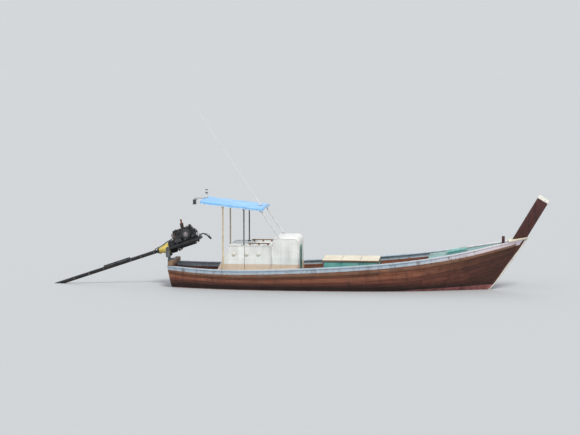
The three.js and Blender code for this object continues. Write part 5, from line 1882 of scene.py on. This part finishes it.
# %% [markdown]
# ## Shaft, tail tube and propeller
# A flange joins the yellow housing to the long tube that carries the shaft. A thin pipe clamped to
# the tube brings cooling water from the strut to the engine by a rubber hose. The propeller has two
# twisted blades, so each is drawn as a grid from root to tip and turned more at the root.

# %% Housing
housing_bolts = [at((-2, y, z), ASTERN) for y, z in circle(132, 12)]
for x, radius, out in ((-268, 71, ASTERN), (-234, 74, AHEAD)):
    housing_bolts += [at((x, y, z), out) for y, z in circle(radius, 6, math.pi / 6)]
bolts("housing_bolts", 8, 10, housing_bolts, *BRIGHT)
housing_rings = ((-72, 124), (-150, 95))
rings = [collar(r - 2, r + 3, 8, 40, at((x, 0, 0), AHEAD)) for x, r in housing_rings]
made("housing_rings", rings, "power_unit", "yellow_paint")

# %% Clamps of the cooling pipe on the tail tube
CLAMPS = [-400, -750, -1020, -1750, -2150, -2550, -2950]
PIPE_Y, PIPE_Z = -30, 46
clamps = []
for x in CLAMPS:
    clamps += [
        collar(37.8, 40.2, 24, 28, at((x, 0, 0), AHEAD)),
        collar(10.8, 12.5, 20, 16, at((x, PIPE_Y, PIPE_Z), AHEAD)),
        engine_box((x - 11, 36, -12), (x + 11, 56, 12), 2),
    ]
made("tail_clamps", clamps, *ENGINE_STEEL)
clamp_bolts = [at((x, 46, out[2] * 12), out) for out in (DOWN, UP) for x in CLAMPS]
bolts("tail_clamp_bolts", 6, 6, clamp_bolts, *BRIGHT)

# %% Cooling pipe and hose
water = [(x, PIPE_Y, PIPE_Z) for x in (-2980, -2000, -1200, -420)]
water = [(-3020, PIPE_Y - 4, PIPE_Z - 8), *water, (-360, PIPE_Y - 8, PIPE_Z + 10)]
made("cooling_pipe", pipe(water, 10.5, 8), *ENGINE_STEEL)
HOSE = [
    (-362, -37, 55), (-330, -48, 72), (-270, -55, 85), (-200, -58, 94), (-120, -66, 112),
    (-60, -75, 133), (20, -84, 158), (110, -90, 176), (180, -104, 204), (196, -118, 250),
    (235, -136, 274), (330, -138, 276), (450, -135.5, 272), (560, -135.5, 272), (660, -135.5, 268),
    (712, -122, 258), (742, -80, 242), (742, -48, 228),
]
made("cooling_hose", pipe(HOSE, 11), *RUBBER)
clip = [(4, 11.2), (5, 12.8), (14, 12.8), (15, 11.2)]
ends = [(HOSE[0], HOSE[1]), (HOSE[-1], HOSE[-2])]
clips = [turned(clip, 16, at(end, Vector(inner) - Vector(end))) for end, inner in ends]
made("hose_clips", clips, *BRIGHT)

# %% Grease nipples and welds
nipple = turned([(-2, 5), (6, 5), (6.2, 3), (11, 3.5), (13, 2)], 8)
nipples = [(-620, 37.8), (-1280, 37.8), (-2350, 37.8), (-3100, 37.8), (-110, 108)]
copies("grease_nipples", nipple, [at((x, 0, z)) for x, z in nipples], *BRIGHT)


def bead(start, step, count, y, z):
    """A bead of weld that runs along the tube."""
    return tube([metres((start + i * step, y, z)) for i in range(count)], 0.0035, ENGINE)


welds = [bead(-1752, 20.5, 36, side * 5.5, 38.2) for side in SIDES]
welds += [bead(-3250, 20, 21, side * 6.5, -37.8) for side in SIDES]
made("tail_welds", welds, "power_unit", "tail_steel")
print("clamps on the tail tube:", len(CLAMPS), "welds:", len(welds))

# %% Propeller
BLADE_ROOT, BLADE_TIP = 0.024, 0.1645  # radii, in metres
BLADE_HALF = 0.044  # half the widest chord
BLADE_PITCH = math.radians(38)
HUB = [
    (0, 16), (34, 16.5), (34.5, 24), (37, 29), (68, 30.5), (100, 29), (104, 27), (104.2, 18), (122, 17),
    (122.2, 13), (128, 11), (131.5, 6),
]


def blade_mesh():
    """A plain grid, shaped into one blade of constant advance: steep at the root, flat at the tip."""
    deselect()
    bpy.ops.mesh.primitive_grid_add(x_subdivisions=18, y_subdivisions=12, size=2)
    blade = bpy.context.object
    for vertex in blade.data.vertices:
        u, v = (vertex.co.x + 1) / 2, vertex.co.y
        out = 0.5 - 0.5 * math.cos(math.pi * u) if u > 0.5 else u
        radius = BLADE_ROOT + (BLADE_TIP - BLADE_ROOT) * out
        full = max(1 - (2 * u - 1.05) ** 2 * 0.86, 0.06) if u < 0.99 else 0.06
        chord = BLADE_HALF * math.sqrt(full) * v
        pitch = BLADE_PITCH + 0.35 * (0.6 - u)
        cup = 0.006 * v * v + 0.004 * u
        vertex.co = (chord * math.sin(pitch) + cup, radius, -chord * math.cos(pitch))
    apply(blade, "SOLIDIFY", thickness=0.006, offset=0)
    apply(blade, "SUBSURF", levels=1, render_levels=1)
    return blade


first = blade_mesh()
second = duplicate(first)
second.data.transform(Matrix.Rotation(math.pi, 4, "X"))
for blade in (first, second):
    blade.data.transform(ENGINE @ Matrix.Translation((-3.363, 0, 0)))
wheel = [first, second, turned(HUB, 28, at((-3293, 0, 0), ASTERN))]
propeller = made("two_blade_propeller", wheel, "drive_line", "bronze", instead_of=["propeller"])
hub_nut = at((-3397, 0, 0), ASTERN)
bolts("propeller_nut", 18, 16, [hub_nut], "drive_line", "galvanised_steel", steel_bolt)
print("propeller faces:", len(propeller.data.polygons))

# %% [markdown]
# ## Steering gear and the stern
# The swivel bracket is bolted to a beam across the stern. The yoke turns on its pin, and the
# cradle's short axles tilt in the yoke. The tiller has a ribbed rubber grip and a throttle lever,
# whose cable is clipped along the tiller and the cradle to the injection pump.

# %% Bracket, yoke and axles
STERN_X, PIN_Z = -4.45, 0.936
HULL_STEEL = "hull", "galvanised_steel"
HULL_BRIGHT = *HULL_STEEL, steel_bolt
ACROSS = (-0.14, -0.07, 0.07, 0.14)
PIN_NUT = [(-1, 40), (3, 40), (3.1, 30), (18, 29), (18.1, 20), (24, 18)]
AXLE_CAP = [(0.2, 22), (4, 22), (4.1, 13), (9, 12), (9.5, 6)]

bracket_bolts = [facing((-4.416, y, z), ASTERN) for y in ACROSS for z in (0.435, 0.515, 0.60)]
bracket_bolts += [facing((x, y, 0.662), UP) for x in (-4.36, -4.295) for y in (-0.14, -0.05, 0.05, 0.14)]
bracket_bolts += [facing((-4.325, y, 0.650), UP) for y in (-0.55, -0.40, 0.40, 0.55)]
bolts("bracket_bolts", 13, 11, bracket_bolts, *HULL_BRIGHT)
gussets = [box((-4.402, y - 0.005, 0.600), (-4.36, y + 0.005, 0.652), 0.002) for y in (-0.165, 0.165)]
made("bracket_gussets", gussets, *HULL_STEEL)
pin_nut = turned(PIN_NUT, 6, facing((STERN_X, 0, 0.7425), UP))
made("swivel_nut", pin_nut, "swivel", "galvanised_steel", steel_bolt)


def ring_of(radius, thick, centre, out, sides=32):
    """A round ring about a centre, square to a direction."""
    return tube([(x, y, 0) for x, y in circle(radius, sides)], thick, facing(centre, out), closed=True)


bosses = [ring_of(0.0215, 0.004, (STERN_X, side * 0.2265, PIN_Z), (0, side, 0)) for side in SIDES]
for y in (-0.2255, -0.2125, 0.2125, 0.2255):
    bosses.append(tube([(STERN_X - 0.040 + i * 0.008, y, 0.743) for i in range(11)], 0.004))
made("yoke_bosses", bosses, "swivel", "galvanised_steel")
copies("axle_caps", turned(AXLE_CAP, 20), [at((0, side * 236, 0), (0, side, 0)) for side in SIDES], *BRIGHT)
print("bolts of the bracket:", len(bracket_bolts))

# %% Tiller grip
GRIP_FROM, GRIP_TO = Vector((1034, 0, -42.7)), Vector((1082, 0, -112))
GRIP_LONG = (GRIP_TO - GRIP_FROM).length
RIDGES = 12
grip = [(-3, 18), (-2, 24.5)]
for i in range(RIDGES):
    z = 2 + i * (GRIP_LONG - 4) / RIDGES
    grip += [(z, 22.8), (z + 1.5, 24.2), (z + 4.2, 24.2), (z + 5.5, 22.8)]
grip += [(GRIP_LONG + 1, 23.5), (GRIP_LONG + 4, 21), (GRIP_LONG + 5, 10)]
made("tiller_grip", turned(grip, 24, at(GRIP_FROM, GRIP_TO - GRIP_FROM)), *ENGINE_STEEL, hose_rubber)
print("tiller grip length:", round(GRIP_LONG), "mm")

# %% Throttle
KNOB = [(-8, 4), (-6, 8.5), (2, 10.5), (8, 8.5), (10, 4)]
CABLE = [
    (978, 18, 56), (950, 20, 72), (905, 22, 84), (862, 26, 74), (846, 14, 99), (830, -20, 99),
    (828, -60, 60), (826, -110, 34), (815, -165, 32), (780, -186, 31), (720, -190, 31), (676, -192, 40),
    (640, -196, 68), (600, -196, 66), (560, -192, 36), (480, -190, 31), (430, -188, 40),
    (402, -180, 70), (392, -170, 100),
]
lever = [
    engine_box((965, -22, 14), (987, 22, 54), 6),
    pipe([(976, 20, 40), (990, 34, 50), (1030, 40, 12), (1062, 40, -36)], 4.5),
    turned(KNOB, 16, at((1064, 40, -40), (0.5, 0, -1))),
]
made("throttle_lever", lever, *BRIGHT)
made("throttle_cable", pipe(CABLE, 3.5), *ENGINE_STEEL, hose_rubber)
clips = [engine_box((x - 5, -200, 24.5), (x + 5, -180, 36.5), 2) for x in (765, 545, 475)]
clips.append(engine_box((822, -10, 94.5), (836, 6, 104), 2))
made("throttle_clips", clips, *BRIGHT)
bolts("tiller_bolts", 11, 9, [at((830, side * 24, 45), (0, side, 0)) for side in SIDES], *BRIGHT)

# %% [markdown]
# ## Canopy stand, lamps and aerial
# The canopy's rails are lashed to the pipe hoops with cord, and its hem has brass eyelets. Pads
# under the cloth's fittings level them. The aerial is a tapered whip in three sections, the mast
# lamp has a black collar and cap, and the flood lamp has a glass behind three guard bars.

# %% Feet and welds of the hoops
FOOT_CORNERS = [(dx, dy) for dx in (-0.028, 0.028) for dy in (-0.028, 0.028)]
HOOPS = {"aft": (-3.0, 0.655, 0.019), "mid": (-2.5, 0.52, 0.017), "front": (-1.64, 0.56, 0.017)}
foot_bolts, welds = [], []
for name, (x, y, radius) in HOOPS.items():
    start, back = (1.60, 0.006) if name == "front" else (1.40, 0)
    plate = surface(f"rounded_{name}_hoop")
    for side in SIDES:
        corners = [(x + dx, side * y + dy, start) for dx, dy in FOOT_CORNERS]
        feet = places_on(plate, corners, DOWN, lambda point, normal: normal.z > 0.9)
        level = feet[0].translation.z + 0.001
        foot_bolts += feet
        welds.append(ring_of(radius + 0.0015, 0.0035, (x - back, side * y, level), UP, 24))
bolts("hoop_foot_bolts", 8, 7, foot_bolts, *HULL_BRIGHT)
made("hoop_welds", welds, "hull", "grey_pipe")
print("hoop foot bolts:", len(foot_bolts))

# %% Lashings of the canopy rails
RAIL_Y, RAIL_DROP = 0.667, 0.088
LASHED = ((-3.0, 0.022), (-2.5, 0.020), (-2.07, 0.020))


def cover_top(x, y=0.0):
    """The crown of the cover over x, in the boat's frame."""
    fall = (x - CANOPY_PLACE.x) * math.tan(CANOPY_SLOPE)
    return CANOPY_PLACE.z - fall - CANOPY_CAMBER * (y / CANOPY_HALF) ** 2


rope = steel("lashing_cord", (178, 170, 146), (142, 132, 108), 0.0, 0.0, 0.85, 0.6, 30.0)
turns = []
for x, radius in LASHED:
    top = cover_top(x) - RAIL_DROP + 0.040
    low = cover_top(x) - RAIL_DROP - 2 * radius - 0.004
    flank = [(0.024, top), (0.0275, top - 0.004), (0.0275, top - 0.040), (0.030, low + 0.020)]
    flank.append((0.018, low + 0.003))
    row = [*flank, (0, low), *[(-out, z) for out, z in reversed(flank)], (0, top + 0.001)]
    for y in (-RAIL_Y, RAIL_Y):
        for angle in (math.radians(-45), math.radians(45)):
            across = Vector((math.cos(angle), math.sin(angle), 0))
            for shift in (-0.0045, 0.0, 0.0045):
                middle = Vector((x, y, 0)) + Vector((-across.y, across.x, 0)) * shift
                points = [middle + across * out + Vector((0, 0, z)) for out, z in row]
                turns.append(tube(points, 0.0024, closed=True, resolution=1))
made("canopy_lashings", turns, "hull", "canopy_cloth", rope, 50)
print("turns of cord:", len(turns))

# %% Eyelets in the hem
EYELET = [(-0.6, 8.5), (1, 8), (1.4, 6.2), (0.8, 4.5), (-0.2, 4)]
cloth_skin = surface("canopy_sheet")
eyelets = []
for side in SIDES:
    hem = [(x, side * 1.2, cover_top(x, CANOPY_HALF) - 0.060) for x in [-3.46 + i * 0.171 for i in range(9)]]
    eyelets += places_on(cloth_skin, hem, (0, -side, 0))
for end, x in ((-1, -4.0), (1, -1.6)):
    hem_x = CANOPY_PLACE.x + end * 0.78
    hem = [(x, y, cover_top(hem_x, y) - 0.062) for y in [-0.54 + i * 0.18 for i in range(7)]]
    eyelets += places_on(cloth_skin, hem, (-end, 0, 0))
brass = steel("brass_eyelets", (168, 142, 84), (128, 108, 66), 0.1, 0.85, 0.36, 0.4)
eyelet_piece = copies("canopy_eyelets", turned(EYELET, 16), eyelets, "hull", "canopy_cloth", brass)
print("eyelets:", len(eyelets))

# %% Aerial
AERIAL_X, AERIAL_Y = -2.12, -0.25
AERIAL_LEAN = Vector((-1.59, 0, 2.352))
aerial_base = cover_top(AERIAL_X, AERIAL_Y) + 0.006
# Each section starts and ends at a height, and gets thinner. A ferrule closes the lower two.
SECTIONS = ((161, 1000, 8.5, 7), (1050, 1900, 6.6, 5), (1940, 2800, 4.6, 3.2))
FERRULE = ((2, 2.2), (36, 2.2), (38, 0))
SOCKET_ROWS = [(0, 20), (10, 20), (14, 15.5), (44, 15), (52, 11.5)]
whip = [(0, 9), (100, 9.2), (101, 11.5), (160, 11.5), (161, 8.5)]
for start, end, wide, thin in SECTIONS:
    whip += [(start, wide), (end, thin)] + [(end + up, thin + out) for up, out in FERRULE]
whip = whip[:-3] + [(2815, 4.5), (2838, 4.5), (2845, 2)]


def on_aerial(dx, dy, dz):
    return Vector((AERIAL_X + dx, AERIAL_Y + dy, aerial_base + dz))


aerial = [
    turned(whip, 14, facing(on_aerial(0, 0, 0.008), AERIAL_LEAN)),
    turned(SOCKET_ROWS, 20, facing(on_aerial(0, 0, 0.006), AERIAL_LEAN)),
    box(on_aerial(-0.038, -0.022, 0), on_aerial(0.038, 0.022, 0.008)),
]
made("whip_aerial", aerial, "hull", "aerial_whip", instead_of=["aerial"])

# %% Pads and screws
LAMP_X = -3.5
SCREW = [(-0.5, 4), (1.2, 3.5), (1.6, 1.5)]
lamp_top = cover_top(LAMP_X) + 0.006
pads = []
for x, y, half_x, half_y in ((AERIAL_X, AERIAL_Y, 0.044, 0.028), (LAMP_X, 0, 0.042, 0.042)):
    place = Matrix.Translation((x, y, cover_top(x, y))) @ Matrix.Rotation(CANOPY_SLOPE, 4, "Y")
    pads.append(box((-half_x, -half_y, -0.010), (half_x, half_y, 0.0055), 0.003, 2, place))
made("canopy_pads", pads, "hull", "bare_boards")
screws = [facing(on_aerial(dx, dy, 0.008), UP) for dx in (-0.029, 0.029) for dy in (-0.012, 0.012)]
for turn in (0.6, 2.2, 3.7, 5.3):
    screws.append(facing((LAMP_X + 0.027 * math.cos(turn), 0.027 * math.sin(turn), lamp_top + 0.030), UP))
copies("fitting_screws", turned(SCREW, 8), screws, *HULL_BRIGHT)
print("screws of the fittings:", len(screws))

# %% Mast lamp collar and flood lamp
COLLAR = [(96, 20), (100, 36), (112, 38.5), (118, 38.5), (119, 35)]
CAP = [(172, 34), (173, 38), (178, 38), (188, 26), (194, 10)]
FLOOD = Matrix.Translation((-3.783, -0.320, 0))  # the middle of its width, where its glass is
FLOOD_LOW, FLOOD_HIGH = 2.0586, 2.1746
lamp_place = facing((LAMP_X, 0, lamp_top), UP)
made("mast_lamp_collar", [turned(rows, 28, lamp_place) for rows in (COLLAR, CAP)], "hull", "lamp_grey")


def flood_box(one, other, round_off=0.002):
    return box(one, other, round_off, 2, FLOOD)


case = [flood_box((-0.008, -0.075, z), (0.002, 0.075, z + 0.012)) for z in (FLOOD_LOW, FLOOD_HIGH - 0.012)]
case += [flood_box((-0.008, y, FLOOD_LOW), (0.002, y + 0.012, FLOOD_HIGH)) for y in (-0.075, 0.063)]
for z in (2.088, 2.1166, 2.145):
    bar = [(-0.006, -0.068, z), (-0.013, -0.055, z), (-0.013, 0.055, z), (-0.006, 0.068, z)]
    case.append(tube(bar, 0.0022, FLOOD))
for y in [-0.068 + i * 0.0165 for i in range(9)]:
    case.append(flood_box((0.080, y, FLOOD_LOW + 0.012), (0.092, y + 0.004, FLOOD_HIGH - 0.012), 0.001))
made("flood_lamp_frame", case, "hull", "lamp_white")


def glass_finish(name, tint, clouded):
    """Glass that salt has clouded."""
    material, shader, place = new_material(name)
    salt = noise(place, 30.0, 5.0)
    feed(shader, Base_Color=mix(spread(salt, 0.3, 0.8), tint, clouded))
    feed(shader, Roughness=spread(salt, 0.3, 0.8, 0.08, 0.35), Coat_Weight=0.8)
    bump(shader, salt, 0.1, 0.0005)
    return material


# %% Glass and wires of the lamps
pane = flood_box((-0.0035, -0.066, FLOOD_LOW + 0.009), (-0.0002, 0.066, FLOOD_HIGH - 0.009), 0.001)
made("flood_glass", pane, "hull", "lamp_grey", glass_finish("flood_glass", (150, 164, 172), (206, 212, 214)))
arm_z = cover_top(-3.54, -0.320) + 0.008
flood_wire = [
    (-3.700, -0.300, 2.150), (-3.690, -0.302, 2.170), (-3.690, -0.303, arm_z - 0.010),
    (-3.660, -0.303, arm_z - 0.0035), (-3.560, -0.303, arm_z - 0.0035),
]
mast_wire = [
    (-3.484, 0.0, lamp_top + 0.100), (-3.486, 0.006, lamp_top + 0.070),
    (-3.486, 0.004, lamp_top + 0.035), (-3.478, 0.002, lamp_top + 0.0315),
]
for name, path, radius in (("flood_wire", flood_wire, 0.0030), ("mast_lamp_wire", mast_wire, 0.0026)):
    made(name, tube(smooth_path(path), radius), "hull", "lamp_grey", hose_rubber)
print("flood lamp shapes:", len(case))

# %% [markdown]
# ## Bow and inside of the hull
# The prow post is bolted through its foot, and thin caulked seams show that it is made of three
# planks. A stringer runs along the ribs on each side of the open hold and of the stern well, which
# ties the frames together.

# %% Prow post
PROW_AFT = Vector((-PROW_UP.z, 0, PROW_UP.x))
PROW_HALF = 0.038  # half its thickness


def on_prow(rise, back, side):
    """A point on a side of the post, from its foot upwards and from its front edge backwards."""
    return PROW_FOOT + PROW_UP * rise + PROW_AFT * back + Vector((0, side * PROW_HALF, 0))


POST_BOLTS = ((0.06, 0.07), (0.06, 0.21), (0.17, 0.14), (0.86, 0.14))
CAP_BOLTS = ((4.30, 0.06), (4.15, 0.12), (4.02, 0.19), (4.36, 0.0))
prow_bolts = [facing(on_prow(*spot, side), (0, side, 0)) for side in SIDES for spot in POST_BOLTS]
over_cap = [(x, y * side, 2.5) for x, y in CAP_BOLTS for side in SIDES]
cap_skin = surface("rounded_prow_foot_cap")
prow_bolts += places_on(cap_skin, over_cap, DOWN, lambda point, normal: normal.z > 0.6)
bolts("prow_bolts", 11, 8, prow_bolts, *HULL_IRON)
seams = []
for side in SIDES:
    for back in (0.094, 0.188):
        seams.append(tube([on_prow(0.02, back, side), on_prow(0.985, back, side)], 0.0016))
made("prow_seams", seams, "hull", "prow_timber", caulk)
print("prow bolts:", len(prow_bolts))

# %% Stringers
STRINGER_DROP = 0.325
STRINGER_RADIUS = 0.0165


def rib_face(x, side):
    """Where a rib's inner face lies at the stringer's height. The ribs rake a little with the hull."""
    for step in range(14):
        start = (x + 0.04 - step * 0.01, 0, sheer_height(x) - STRINGER_DROP)
        point, normal = drop(rib_skin, start, (0, side, 0))
        if point and abs(point.y) > 0.2 and abs(normal.x) < 0.5:
            return point - Vector((0.012, side * 0.008, 0))
    return None


def stringer(first, last, side):
    """A bar on the inner faces of the ribs between two walls, with both ends carried on to them."""
    spots = [rib_face(x, side) for x in RIB_PLACES if first < x < last]
    spots = [spot for spot in spots if spot]
    ends = []
    for wall, a, b in ((first, spots[0], spots[1]), (last, spots[-1], spots[-2])):
        ends.append(a + (a - b) * ((wall - a.x) / (a.x - b.x)))
    return tube(smooth_path([ends[0], *spots, ends[1]], 5), STRINGER_RADIUS)


for name, first, last in (("waist", -1.148, 1.885), ("stern", -4.23, -3.20)):
    made(f"stringers_{name}", [stringer(first, last, side) for side in SIDES], "hull", "bare_boards")
    print("stringers along the", name, "from", first, "to", last)

# %% [markdown]
# ## Sizes
# The size of the imported model and the size of everything drawn are printed side by side, to see
# that nothing has outgrown the construction.

# %% Sizes
drawn_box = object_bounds()
for name, extent in (("model", model_box), ("drawn", drawn_box)):
    print(name, [[round(c, 3) for c in corner] for corner in extent])
